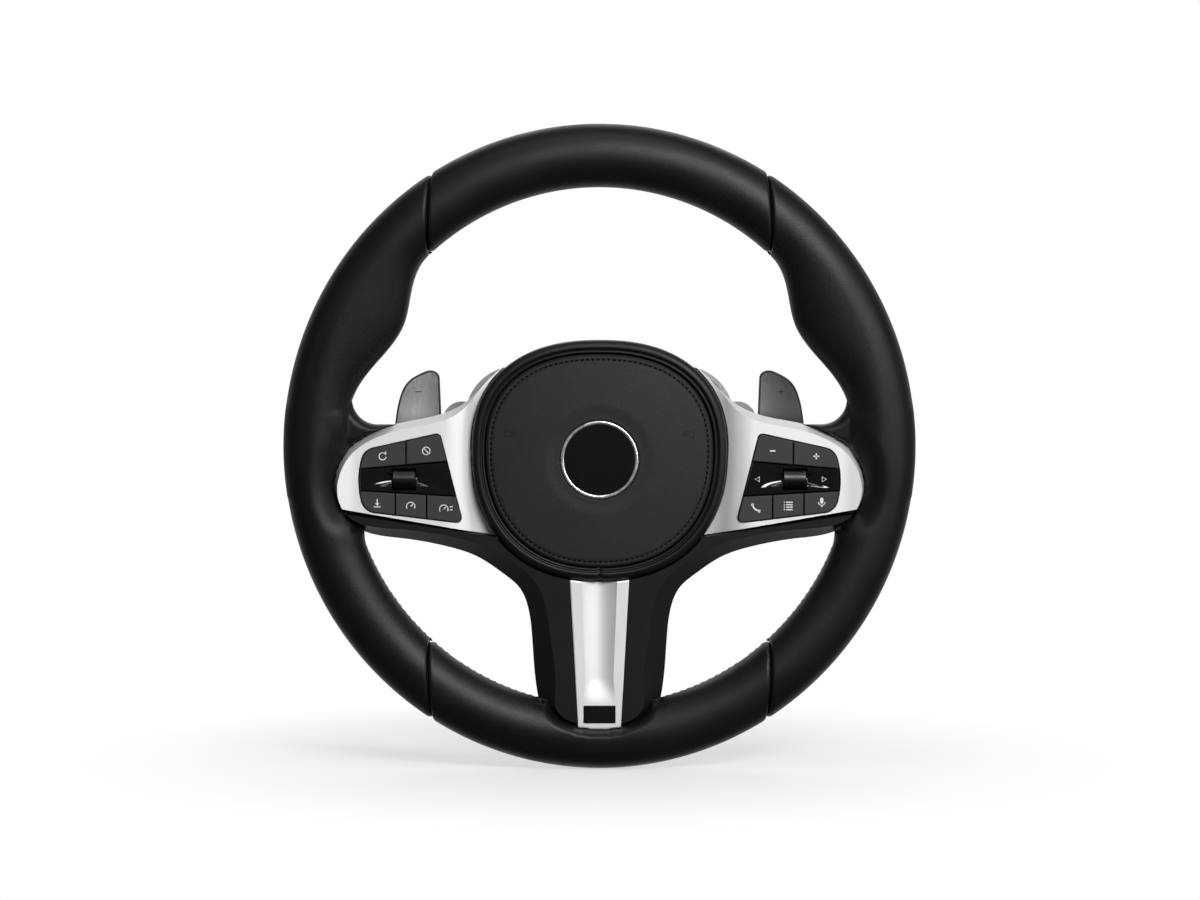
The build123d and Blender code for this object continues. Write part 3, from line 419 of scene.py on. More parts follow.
def make_finishes(colours):
    """All finishes, by the record's slot names where they have one: kind, colour, roughness and grain."""
    looks = {
        "black_leather": (leather_finish, colours.rim, 0.48, 0.0010, 0.00006, 0.32),
        "grey_leather": (leather_finish, colours.cover, 0.5, 0.0012, 0.00016),
        "foam": (moulded_finish, (0.03, 0.03, 0.03), 0.8, 0.0015, 0.0001),
        "alloy": (metal_finish, (0.55, 0.55, 0.56), 0.45, EVEN, 0.0012, 0.00004),
        "satin_silver": (painted_finish, colours.silver, 0.58),
        "black_plastic": (moulded_finish, colours.plastic, 0.42, 0.0007, 0.00003),
        "grey_plastic": (moulded_finish, colours.grey, 0.42, 0.0007, 0.00003),
        "key_grey": (moulded_finish, colours.key, 0.5, 0.0004, 0.000015),
        "gloss_black": (gloss_finish, (0.004, 0.004, 0.0043)),
        "plate_black": (moulded_finish, (0.004, 0.004, 0.0042), 0.36, 0.0007, 0.00001),
        "chrome": (metal_finish, (0.88, 0.88, 0.89), 0.3, EVEN, 0.004, 0.000002),
        "roller_metal": (metal_finish, (0.055, 0.055, 0.057), 0.36, EVEN, 0.0005, 0.000008),
        "paddle_metal": (metal_finish, colours.paddle, 0.34, (1.0, 1.0, 0.15), 0.0006, 0.000003),
        "steel": (metal_finish, (0.50, 0.50, 0.51), 0.33, (1.0, 0.1, 1.0), 0.0006),
        "dark_metal": (moulded_finish, (0.03, 0.03, 0.032), 0.45),
        "cushion_cloth": (woven_finish, (0.72, 0.71, 0.68)),
        "board_green": (moulded_finish, (0.02, 0.10, 0.05), 0.3),
        "mat_rubber": (moulded_finish, (0.25, 0.25, 0.26), 0.7),
        "thread": (leather_finish, colours.thread, 0.75, 0.0003, 0.00004, 0.05),
        "symbol": (moulded_finish, colours.symbol, 0.45, 0.0003, 0.000005),
        # near-black leather of the horn marks: painted shade of their pressed-in lines
        "pressed_leather": (leather_finish, shade(colours.cover, 0.2), 0.6, 0.0010, 0.00006),
        "paddle_mark": (moulded_finish, (0.06, 0.06, 0.06), 0.5),
    }
    return {name: make(name, *values) for name, (make, *values) in looks.items()}


# Mesh building


def to_row(x, depth, z):
    """Points of the row frame from widths, depths towards the driver and heights."""
    return np.stack(np.broadcast_arrays(x, np.negative(depth), z), axis=-1)


def smooth(share):
    """Soft step from 0 to 1."""
    share = np.clip(share, 0.0, 1.0)
    return share * share * (3 - 2 * share)


def unit(ways):
    """Directions made one long."""
    return ways / np.linalg.norm(ways, axis=-1, keepdims=True)


def clamp(value, low=0.0, high=1.0):
    """A value kept between two limits."""
    return min(high, max(low, value))


def runs(*stops):
    """Steps through places, with the number of points on each stretch given between its two ends."""
    steps = [np.array([stops[0]])]
    for (start, end), count in zip(zip(stops[::2], stops[2::2]), stops[1::2]):
        steps.append(np.linspace(start, end, count)[1:])
    return np.concatenate(steps)


def grid_faces(rows, columns, wrap=True, closed=False):
    """Quads between the rows of a grid whose columns, and rows too, may close on themselves."""
    faces = []
    for i in range(rows if closed else rows - 1):
        a = i * columns
        b = (i + 1) % rows * columns
        for j in range(columns if wrap else columns - 1):
            k = (j + 1) % columns
            faces.append((a + j, a + k, b + k, b + j))
    return faces


def outward(mesh):
    """Turns the faces of a closed mesh outwards."""
    mesh.calc_loop_triangles()
    points = np.empty(len(mesh.vertices) * 3)
    mesh.vertices.foreach_get("co", points)
    corners = np.empty(len(mesh.loop_triangles) * 3, dtype=np.int64)
    mesh.loop_triangles.foreach_get("vertices", corners)
    a, b, c = (points.reshape(-1, 3)[corners[i::3]] for i in range(3))
    if np.einsum("ij,ij->i", a, np.cross(b, c)).sum() < 0:
        mesh.flip_normals()


def linked(name, data):
    """Object for some data, in the scene."""
    made = bpy.data.objects.new(name, data)
    bpy.context.scene.collection.objects.link(made)
    return made


def new_piece(name, points, faces, material, body, slot):
    """Smooth-shaded mesh piece that rides on a body."""
    mesh = bpy.data.meshes.new(name)
    mesh.from_pydata([tuple(p) for p in points], [], faces)
    mesh.validate()
    mesh.shade_smooth()
    mesh.materials.append(material)
    outward(mesh)
    piece = linked(name, mesh)
    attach(piece, body)
    return piece


def solid_tree(*names, flat=False):
    """Faces of some solids, or their outline seen from the front, to measure to."""
    points = []
    faces = []
    for name in names:
        mesh = NODES[name].data
        start = len(points)
        points.extend(Vector((v.co.x, 0.0, v.co.z)) if flat else v.co for v in mesh.vertices)
        faces.extend([start + i for i in p.vertices] for p in mesh.polygons)
    return BVHTree.FromPolygons(points, faces)


class Pocket:
    """How the leather dips where the trims and the lower spoke are let into it."""

    margin = 0.0003  # distance at which a place still counts as under a piece
    power = 2.5  # fullness of the leather's roll

    def __init__(self, rim):
        self.floor = rim.floor
        trims = solid_tree("left_spoke_trim", "right_spoke_trim", flat=True)
        spoke = solid_tree("spoke_cover", "lower_insert", flat=True)
        self.seats = ((trims, rim.trim_roll, rim.trim_lip), (spoke, rim.spoke_roll, rim.spoke_lip))

    def press(self, points, under=0.0):
        """Points lowered to the pocket floor under the seated pieces and rolled up outside them."""
        pressed = points.reshape(-1, 3).copy()
        floor = self.floor - under
        for i in np.nonzero(-pressed[:, 1] > floor)[0]:
            x, y, z = pressed[i]
            for tree, roll, lip in self.seats:
                hit = tree.find_nearest(Vector((x, 0.0, z)), roll + self.margin)
                if hit[0] is not None:
                    share = clamp((hit[3] - self.margin) / roll)
                    foot = floor + (lip if share > 0 else 0.0)
                    rolled = foot + max(-y - foot, 0.0) * (1 - (1 - share) ** self.power)
                    pressed[i, 1] = max(pressed[i, 1], -rolled)
        return pressed.reshape(points.shape)


# Rim. Angles are in degrees, along the rim from the driver's right, or from the side spokes upwards
THUMB_ABOVE, THUMB_BELOW = 18.0, 22.0  # run of a thumb rest above and below its middle
HEEL_ANGLE, HEEL_RUN = -13.0, 10.0  # place of the heel below a side spoke, and its run to each side
SEAM_ANGLES = {"upper_right": 54.0, "upper_left": 126.0, "lower_left": 234.0, "lower_right": 306.0}
SEAM_SEARCH = 22.0  # how far from these angles a seam is looked for
SEAM_HALVINGS = 40
EDGE_STEPS = np.array([0.0, 0.0001, 0.0003, 0.0006, 0.001, 0.0015, 0.002, 0.0026])  # from a seam, in metres


def wrapped(degrees):
    """Angles between -180 and 180 degrees."""
    return np.mod(degrees + 180.0, 360.0) - 180.0


def thumb_reach(rim, turn):
    """How far the grip stands in at an angle, in metres."""
    degrees = wrapped(np.degrees(turn))
    folded = np.where(np.cos(turn) > 0, degrees, wrapped(180.0 - degrees))
    off = folded - rim.thumb_angle
    thumb = np.clip(off / np.where(off > 0, THUMB_ABOVE, THUMB_BELOW), -1.0, 1.0)
    heel = np.clip((folded - HEEL_ANGLE) / HEEL_RUN, -1.0, 1.0)
    thumb, heel = (np.cos(math.pi / 2 * share) ** 2 for share in (thumb, heel))
    return rim.thumb_reach * thumb + rim.heel_reach * heel


def rim_line(rim, turn):
    """Places on the rim's middle line at some angles, and the directions outwards from them."""
    across, up = np.cos(turn), np.sin(turn)
    out = unit(np.stack([across / rim.mid_x, up / rim.mid_z], axis=-1))
    return rim.mid_x * across, rim.mid_z * up, out[..., 0], out[..., 1]


def grip(rim, turn, round_, sink=0.0):
    """Points at angles along the rim and round its section, sunk below the grip's surface."""
    x, z, out_x, out_z = rim_line(rim, turn)
    out = np.cos(round_)
    ahead = np.sin(round_)
    width = rim.half_width + np.where(out < 0, thumb_reach(rim, turn), 0.0)
    slope_out = out / width
    slope_ahead = ahead / rim.half_depth
    size = np.hypot(slope_out, slope_ahead)
    across = width * out - sink * slope_out / size
    depth = rim.depth + rim.half_depth * ahead - sink * slope_ahead / size
    return to_row(x + out_x * across, depth, z + out_z * across)


def seam_turn(rim, quadrant, round_, inside):
    """Angle along the rim at which a cross seam runs, for each angle round the section."""
    limits = (SEAM_ANGLES[quadrant] - SEAM_SEARCH, SEAM_ANGLES[quadrant] + SEAM_SEARCH)
    low, high = (np.full_like(round_, math.radians(limit)) for limit in limits)
    bow = rim.seam_bow * np.clip(np.sin(round_), 0.0, 1.0)
    target = rim.seam_x + bow + (-rim.seam_gap if inside else rim.seam_gap)
    rising = np.sign(np.abs(np.cos(high)) - np.abs(np.cos(low)))
    for _ in range(SEAM_HALVINGS):
        middle = (low + high) / 2
        beyond = (np.abs(grip(rim, middle, round_)[..., 0]) - target) * rising > 0
        high = np.where(beyond, middle, high)
        low = np.where(beyond, low, middle)
    return (low + high) / 2


def leather_grid(rim, first, last, pocket, corner=None, sign=0.0):
    """Points and faces of one leather piece between two seams: outer skin, rolled edges, inner wall."""
    around = first.shape[0]
    round_ = np.linspace(0.0, FULL_TURN, around, endpoint=False)
    span = float(np.mean(last - first)) * (rim.mid_x + rim.mid_z) / 2
    edge = EDGE_STEPS[-1]
    count = max(8, int(round((span - 2 * edge) / rim.step)))
    between = np.linspace(edge, span - edge, count)[1:-1]
    along = np.concatenate([EDGE_STEPS, between, span - EDGE_STEPS[::-1]])
    near = np.clip(np.minimum(along, span - along) / rim.seam_roll, 0.0, 1.0)
    sink = rim.seam_sink * (1 - np.sqrt(1 - (1 - near) ** 2))

    def skin(along, sink):
        turn = first + (last - first) * (along / span)[:, None]
        return grip(rim, turn, round_, sink)

    outer = skin(along, sink[:, None])
    inner = skin(np.linspace(span, 0.0, max(6, count // 5)), rim.seam_sink + rim.wall)
    if corner:
        outer = corner.lift(outer, sign)
    if pocket:
        outer = pocket.press(outer)
        inner = pocket.press(inner, rim.wall)
    rows = np.concatenate([outer, inner])
    return rows.reshape(-1, 3), grid_faces(len(rows), around, closed=True)


class Corner:
    """Leather corner that runs from the grip onto the top of a side spoke."""

    top = 0.0133  # height of its edge on the spoke
    bend = 0.015  # radius of the hollow edge
    inset = 0.003  # distance of the hollow edge from the grip
    roll = 0.0058  # width of the rolled edge
    half = 0.0074  # half thickness on the spoke
    thin = 0.0003  # least half thickness
    reach = 0.012  # width of the blend into the grip
    arm = 0.021  # length of the straight edge on the spoke
    turns = (-90.0, 19.0)  # first and last angle of the hollow edge
    depth = 0.026  # distance from the edge to the end inside the grip
    fade, fade_width, fade_slope = 0.016, 0.004, 1.1  # where and how it sinks into the grip
    rise, rise_run = 0.3, 1.05  # where it thins out along the hollow edge, in radii of the bend
    beside = 1.2  # slope by which the grip's thickness goes on falling beside it
    proud, sink = 0.00015, 0.0003  # height over the grip beside it, and how far it sinks below this
    sink_from, sink_run = 0.0085, 0.0055  # half thickness of the grip at which it sinks
    room = 0.02, (-0.03, 0.05)  # part of the grip that it changes

    def __init__(self, rim):
        self.rim = rim
        self.bend_x = rim.mid_x - rim.half_width - self.inset - self.bend

    def inside(self, x, z):
        """Distance of a place from the corner's hollow edge, into the leather."""
        arc = np.hypot(x - self.bend_x, z - self.top - self.bend) - self.bend
        return np.where(x <= self.bend_x, self.top - z, arc)

    def thickness(self, x, z):
        """Half the corner's thickness and the width of its blend into the grip."""
        deep = self.inside(x, z)
        share = 1 - smooth((z - self.top - self.rise * self.bend) / (self.rise_run * self.bend))
        turn = np.clip(1 - deep / self.roll, 0.0, 1.0)
        past = deep - self.fade
        fall = (past + np.sqrt(past ** 2 + self.fade_width ** 2)) / 2
        half = self.half * share * np.sqrt(1 - turn ** 2) - self.fade_slope * fall
        grow = np.clip(deep / self.reach, 0.0, 1.0)
        return np.maximum(half, self.thin), np.maximum(self.reach * share * grow * (2 - grow), 1e-6)

    def join(self, own, other, reach):
        """Larger of two heights with a soft change between them."""
        share = np.clip(0.5 + 0.5 * (own - other) / reach, 0.0, 1.0)
        return other + (own - other) * share + reach * share * (1 - share)

    def lift(self, points, sign):
        """Grip points raised softly to the corner where the two meet."""
        x = points[..., 0] * sign
        z = points[..., 2]
        inwards, (low, high) = self.room
        near = (self.inside(x, z) > 0) & (x > self.bend_x - inwards) & (z > low) & (z < high)
        half, reach = self.thickness(x, z)
        height = -points[..., 1] - self.rim.depth
        raised = np.sign(height) * self.join(np.abs(height), half, reach)
        lifted = points.copy()
        lifted[..., 1] = np.where(near, -self.rim.depth - raised, points[..., 1])
        return lifted

    def grip_half(self, x, z):
        """Half the grip's thickness at a place, falling below nothing beside it."""
        rim = self.rim
        turn = np.arctan2(z / rim.mid_z, x / rim.mid_x)
        line_x, line_z, out_x, out_z = rim_line(rim, turn)
        off = (x - line_x) * out_x + (z - line_z) * out_z
        width = rim.half_width + np.where(off < 0, thumb_reach(rim, turn), 0.0)
        share = np.abs(off) / width
        half = rim.half_depth * np.sqrt(np.maximum(1 - share ** 2, 0.0))
        return np.where(share < 1, half, -self.beside * (np.abs(off) - width))

    def grid(self, sign, pocket):
        """Points and faces of the corner."""
        path = [(x, self.top, 0.0, -1.0) for x in np.linspace(self.bend_x - self.arm, self.bend_x, 26)]
        for turn in np.radians(np.linspace(*self.turns, 46)[1:]):
            across, up = math.cos(turn), math.sin(turn)
            place = (self.bend_x + self.bend * across, self.top + self.bend + self.bend * up)
            path.append((*place, across, up))
        swing = np.linspace(0.0, math.pi / 2, 16)
        deep = np.concatenate([self.roll * (1 - np.cos(swing)), np.linspace(self.roll, self.depth, 18)[1:]])
        rows = []
        for x, z, across, up in path:
            x = x + across * deep
            z = z + up * deep
            half, reach = self.thickness(x, z)
            half = np.where(deep > 0, half, 0.0)
            other = self.grip_half(x, z)
            sunk = self.sink * smooth((other - self.sink_from) / self.sink_run)
            height = self.join(half, other, reach) + self.proud - sunk
            front = to_row(sign * x, self.rim.depth + height, z)
            back = to_row(sign * x, self.rim.depth - height, z)
            rows.append(np.concatenate([front[::-1], back[1:]]))
        rows = pocket.press(np.array(rows))
        count, columns, _ = rows.shape
        ends = (tuple(range(columns)), tuple(reversed(range((count - 1) * columns, count * columns))))
        return rows.reshape(-1, 3), [*grid_faces(count, columns), *ends]


def joined(*grids):
    """Several point and face lists as one."""
    points = []
    faces = []
    start = 0
    for grid_points, grid_face_list in grids:
        points.append(grid_points)
        faces.extend(tuple(start + i for i in face) for face in grid_face_list)
        start += len(grid_points)
    return np.concatenate(points), faces


# Airbag pad and rockers
EGG_POWERS = 2.35, 2.25  # fullness of the pad's outline above and below its widest height
DISH_EASE, DISH_LAP = 0.0085, 0.001  # width of the dish's soft edge, and how far it laps over the dish
DISH_RIM = 0.036  # radius outside which the mesh runs from a circle to the outline
GROOVE_DEPTH, GROOVE_WIDTH = 0.0007, 0.0009  # groove along the cover's stitches
SCOOP_HALF, SCOOP_GROWTH, SCOOP_POWER = 0.0036, 0.0020, 2.5  # a finger scoop's height and fullness


def egg(airbag, turn, inset):
    """Widths and heights on the module's rounded outline, moved inwards."""
    across = np.cos(turn)
    up = np.sin(turn)
    power = 2 / np.where(up > 0, *EGG_POWERS)
    height = np.where(up > 0, airbag.top - airbag.wide_z, airbag.wide_z - airbag.low)
    x = (airbag.half_width - inset) * np.sign(across) * np.abs(across) ** power
    z = airbag.wide_z + (height - inset) * np.sign(up) * np.abs(up) ** power
    return x, z


def egg_turns(airbag, count):
    """Angles that step evenly along the module's outline."""
    fine = np.linspace(0.0, FULL_TURN, 7200)
    x, z = egg(airbag, fine, 0.0)
    run = np.concatenate([[0.0], np.cumsum(np.hypot(np.diff(x), np.diff(z)))])
    return np.interp(np.linspace(0.0, run[-1], count, endpoint=False), run, fine)


def cover_depth(airbag, x, z, edge):
    """Depth of the cover's front at a place that is some distance in from its edge."""
    far = np.hypot(x, z - airbag.emblem_z)
    depth = airbag.apex - airbag.crown + np.sqrt(airbag.crown ** 2 - far ** 2)
    depth = depth - airbag.dish_drop * smooth((airbag.dish + DISH_LAP - far) / DISH_EASE)
    roll = np.clip(1 - edge / airbag.roll, 0.0, 1.0)
    depth = depth - airbag.roll * (1 - np.sqrt(1 - roll ** 2))
    return depth - GROOVE_DEPTH * np.exp(-((edge - airbag.stitch_inset) / GROOVE_WIDTH) ** 2)


def rocker_depth(rocker, x, z):
    """Depth of a rocker's front at a place, without its rounded edge."""
    beside = np.abs(np.abs(x) - rocker.middle_x) - rocker.room_width
    run = np.clip(beside / rocker.scoop_run, 0.0, 1.0)
    off = np.clip(np.abs(z - rocker.middle_z) / (SCOOP_HALF + SCOOP_GROWTH * run), 0.0, 1.0)
    return rocker.face - rocker.scoop * (1 - run) * (1 - off ** SCOOP_POWER)


# Stitching


def stitch_tree():
    """Geometry Nodes tree that sews stitches along the edges of a mesh line."""
    tree = bpy.data.node_groups.new("Stitches", "GeometryNodeTree")
    inputs = {"Line": "Geometry", "Thread": "Material"}
    inputs.update(dict.fromkeys(("Spacing", "Stitch Length", "Thread Radius"), "Float"))
    for name, kind in inputs.items():
        tree.interface.new_socket(name=name, in_out="INPUT", socket_type="NodeSocket" + kind)
    tree.interface.new_socket(name="Stitches", in_out="OUTPUT", socket_type="NodeSocketGeometry")
    node = partial(add_node, tree)
    given = {name: node("NodeGroupInput", out=name) for name in inputs}
    line = node("GeometryNodeMeshToCurve", None, {"Mesh": given["Line"]})
    spaced = {"Curve": line, "Length": given["Spacing"]}
    points = node("GeometryNodeCurveToPoints", {"mode": "LENGTH"}, spaced, "Points")
    vector = {"data_type": "FLOAT_VECTOR"}
    along = node("GeometryNodeInputNamedAttribute", vector, {"Name": "along"}, "Attribute")
    turn = node("FunctionNodeAlignRotationToVector", {"axis": "Z"}, {"Vector": along}, "Rotation")
    thread = node("GeometryNodeMeshUVSphere", None, {"Segments": 8, "Rings": 6, "Radius": 1.0}, "Mesh")
    radius = given["Thread Radius"]
    size = node("ShaderNodeCombineXYZ", None, {"X": radius, "Y": radius, "Z": given["Stitch Length"] * 0.5})
    laid = {"Points": points, "Instance": thread, "Rotation": turn, "Scale": size}
    sewn = node("GeometryNodeInstanceOnPoints", None, laid, "Instances")
    real = node("GeometryNodeRealizeInstances", None, {"Geometry": sewn})
    rounded = node("GeometryNodeSetShadeSmooth", None, {"Geometry": real})
    sewn = node("GeometryNodeSetMaterial", None, {"Geometry": rounded, "Material": given["Thread"]})
    node("NodeGroupOutput", None, {"Stitches": sewn})
    return tree


def sew(name, lines, spacing, stitch, thread, material, body):
    """Stitches along lines of points, each with the direction of its stitches, as one plain mesh."""
    points = []
    along = []
    edges = []
    for line, directions, closed in lines:
        start = len(points)
        points.extend(tuple(p) for p in line)
        along.extend(tuple(d) for d in directions)
        edges.extend((start + i, start + i + 1) for i in range(len(line) - 1))
        if closed:
            edges.append((start + len(line) - 1, start))
    mesh = bpy.data.meshes.new(name + "_line")
    mesh.from_pydata(points, edges, [])
    attribute = mesh.attributes.new("along", "FLOAT_VECTOR", "POINT")
    attribute.data.foreach_set("vector", np.array(along, dtype=np.float32).ravel())
    guide = linked(name + "_line", mesh)
    tree = bpy.data.node_groups.get("Stitches") or stitch_tree()
    modifier = guide.modifiers.new("Stitches", "NODES")
    modifier.node_group = tree
    given = {"Spacing": spacing, "Stitch Length": stitch, "Thread Radius": thread, "Thread": material}
    for item in tree.interface.items_tree:
        if item.in_out == "INPUT" and item.name in given:
            modifier[item.identifier] = given[item.name]
    graph = bpy.context.evaluated_depsgraph_get()
    sewn = bpy.data.meshes.new_from_object(guide.evaluated_get(graph))
    guide.modifiers.remove(modifier)
    bpy.data.objects.remove(guide)
    bpy.data.meshes.remove(mesh)
    sewn.name = name
    sewn.materials.clear()
    sewn.materials.append(material)
    piece = linked(name, sewn)
    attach(piece, body)


# Flat symbols
MARK_ROOT = 0.0002  # depth of the marks' roots below the surface


class Symbol:
    """Flat marks drawn in millimetres and laid on a front face."""

    def __init__(self):
        self.points = []
        self.faces = []

    def area(self, corners):
        """Filled area."""
        start = len(self.points)
        self.points.extend(corners)
        self.faces.append(tuple(range(start, start + len(corners))))
        return self

    def stroke(self, line, width, closed=False):
        """Line of one width through points."""
        line = [Vector(p) for p in line]
        count = len(line)
        start = len(self.points)
        for i, here in enumerate(line):
            before = line[i - 1] if i > 0 or closed else here
            after = line[(i + 1) % count] if i < count - 1 or closed else here
            run = (after - before).normalized()
            side = Vector((-run.y, run.x)) * (width / 2)
            self.points.extend([tuple(here + side), tuple(here - side)])
        for i in range(count if closed else count - 1):
            a = start + 2 * i
            b = start + 2 * ((i + 1) % count)
            self.faces.append((a, a + 1, b + 1, b))
        return self

    def arc(self, x, z, radius, first, last, width):
        """Stroke along part of a circle, with angles in degrees."""
        turns = np.radians(np.linspace(first, last, max(6, int(abs(last - first) / 10))))
        return self.stroke([(x + radius * math.cos(t), z + radius * math.sin(t)) for t in turns], width)

    def scale(self, share):
        """Makes the marks larger or smaller."""
        self.points = [(x * share, z * share) for x, z in self.points]
        return self

    def lay(self, name, x, z, depth, thickness, material, body, slot):
        """The marks as a thin raised piece on a front whose depth is a number or a function of place."""
        count = len(self.points)
        x, z = (np.array(self.points) / 1000 + (x, z)).T
        surface = depth(x, z) if callable(depth) else depth
        front = to_row(x, surface + thickness, z)
        back = to_row(x, surface - MARK_ROOT, z)
        faces = []
        for face in self.faces:
            faces.append(tuple(reversed(face)))
            faces.append(tuple(i + count for i in face))
            for i, a in enumerate(face):
                b = face[(i + 1) % len(face)]
                faces.append((a, b, b + count, a + count))
        piece = new_piece(name, np.concatenate([front, back]), faces, material, body, slot)
        piece.data.shade_flat()


FINISHES = {}


def finishes():
    """The finishes made by the first operator."""
    if not FINISHES:
        raise RuntimeError("the finishes have to be made first")
    return FINISHES


# Operators


class WHEEL_OT_finishes(bpy.types.Operator):
    """Makes the finishes and gives each hard piece its own"""

    bl_idname = "wheel.finishes"
    bl_label = "Finishes"

    def execute(self, context):
        FINISHES.update(make_finishes(context.scene.wheel_colours))
        slots = {row["node"]: row["material_slot"] for row in frame["record"]["subparts"]}
        slots["insert_plate"] = "plate_black"
        for node, slot in slots.items():
            materials = NODES[node].data.materials
            materials.clear()
            materials.append(FINISHES[slot])
        return {"FINISHED"}


class WHEEL_OT_leather_rim(bpy.types.Operator):
    """Wraps the rim in four leather pieces with rolled seams and thumb rests"""

    bl_idname = "wheel.leather_rim"
    bl_label = "Leather Rim"

    def execute(self, context):
        rim = context.scene.wheel_rim
        leather = finishes()["black_leather"]
        pocket = Pocket(rim)
        round_ = np.linspace(0.0, FULL_TURN, 128, endpoint=False)
        spans = {
            "rim_leather_top": ("upper_right", "upper_left", True, 0.0, 0),
            "left_rim_leather": ("upper_left", "lower_left", False, 0.0, -1),
            "rim_leather_bottom": ("lower_left", "lower_right", True, 0.0, 0),
            "right_rim_leather": ("lower_right", "upper_right", False, -FULL_TURN, 1),
        }
        for name, (first, last, inside, back, side) in spans.items():
            start = seam_turn(rim, first, round_, inside) + back
            end = seam_turn(rim, last, round_, inside)
            dips = pocket if name != "rim_leather_top" else None
            if side:
                shape = Corner(rim)
                grid = joined(leather_grid(rim, start, end, dips, shape, side), shape.grid(side, pocket))
            else:
                grid = leather_grid(rim, start, end, dips)
            piece = new_piece(name + "_cover", *grid, leather, "wheel", "black_leather")
            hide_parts(name)
        self.core(rim, pocket)
        return {"FINISHED"}

    def core(self, rim, pocket):
        """Foam ring under the leather, dipped like it."""
        turns, round_ = (np.linspace(0.0, FULL_TURN, count, endpoint=False) for count in (420, 72))
        points = grip(rim, turns[:, None], round_, rim.seam_sink + 2 * rim.wall)
        points = pocket.press(points, 2.5 * rim.wall)
        faces = grid_faces(len(turns), len(round_), closed=True)
        piece = new_piece("rim_foam_core", points.reshape(-1, 3), faces, finishes()["foam"], "wheel", "foam")
        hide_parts("rim_foam")


class WHEEL_OT_rim_stitches(bpy.types.Operator):
    """Sews the leather together along the inside of the rim"""

    bl_idname = "wheel.rim_stitches"
    bl_label = "Rim Stitches"

    def execute(self, context):
        rim = context.scene.wheel_rim
        sewing = context.scene.wheel_stitches
        # Degrees along the rim between seams and spokes, and round the grip with the lean of the thread
        spans = [(12.0, 53.0), (57.0, 123.0), (127.0, 168.0)]
        spans += [(203.0, 233.0), (237.0, 256.0), (284.0, 303.0), (307.0, 337.0)]
        rows = ((196.0, 0.75), (202.5, -0.75))
        step, lift = 0.002, 0.0001  # between the points of a line, and over the leather
        aside = 0.02  # angle round the grip, to each side, over which the way across is taken
        lines = []
        for first, last in spans:
            count = int(math.radians(last - first) * rim.mid_x / step)
            turn = np.radians(np.linspace(first, last, count))
            for place, lean in rows:
                place = math.radians(place)
                line = grip(rim, turn, place, -lift)
                across = unit(grip(rim, turn, place + aside) - grip(rim, turn, place - aside))
                lines.append((line, unit(np.gradient(line, axis=0)) + across * lean, False))
        thread = finishes()["thread"]
        sew("rim_stitches", lines, sewing.rim_spacing, sewing.rim_length, sewing.thread, thread, "wheel")
        return {"FINISHED"}


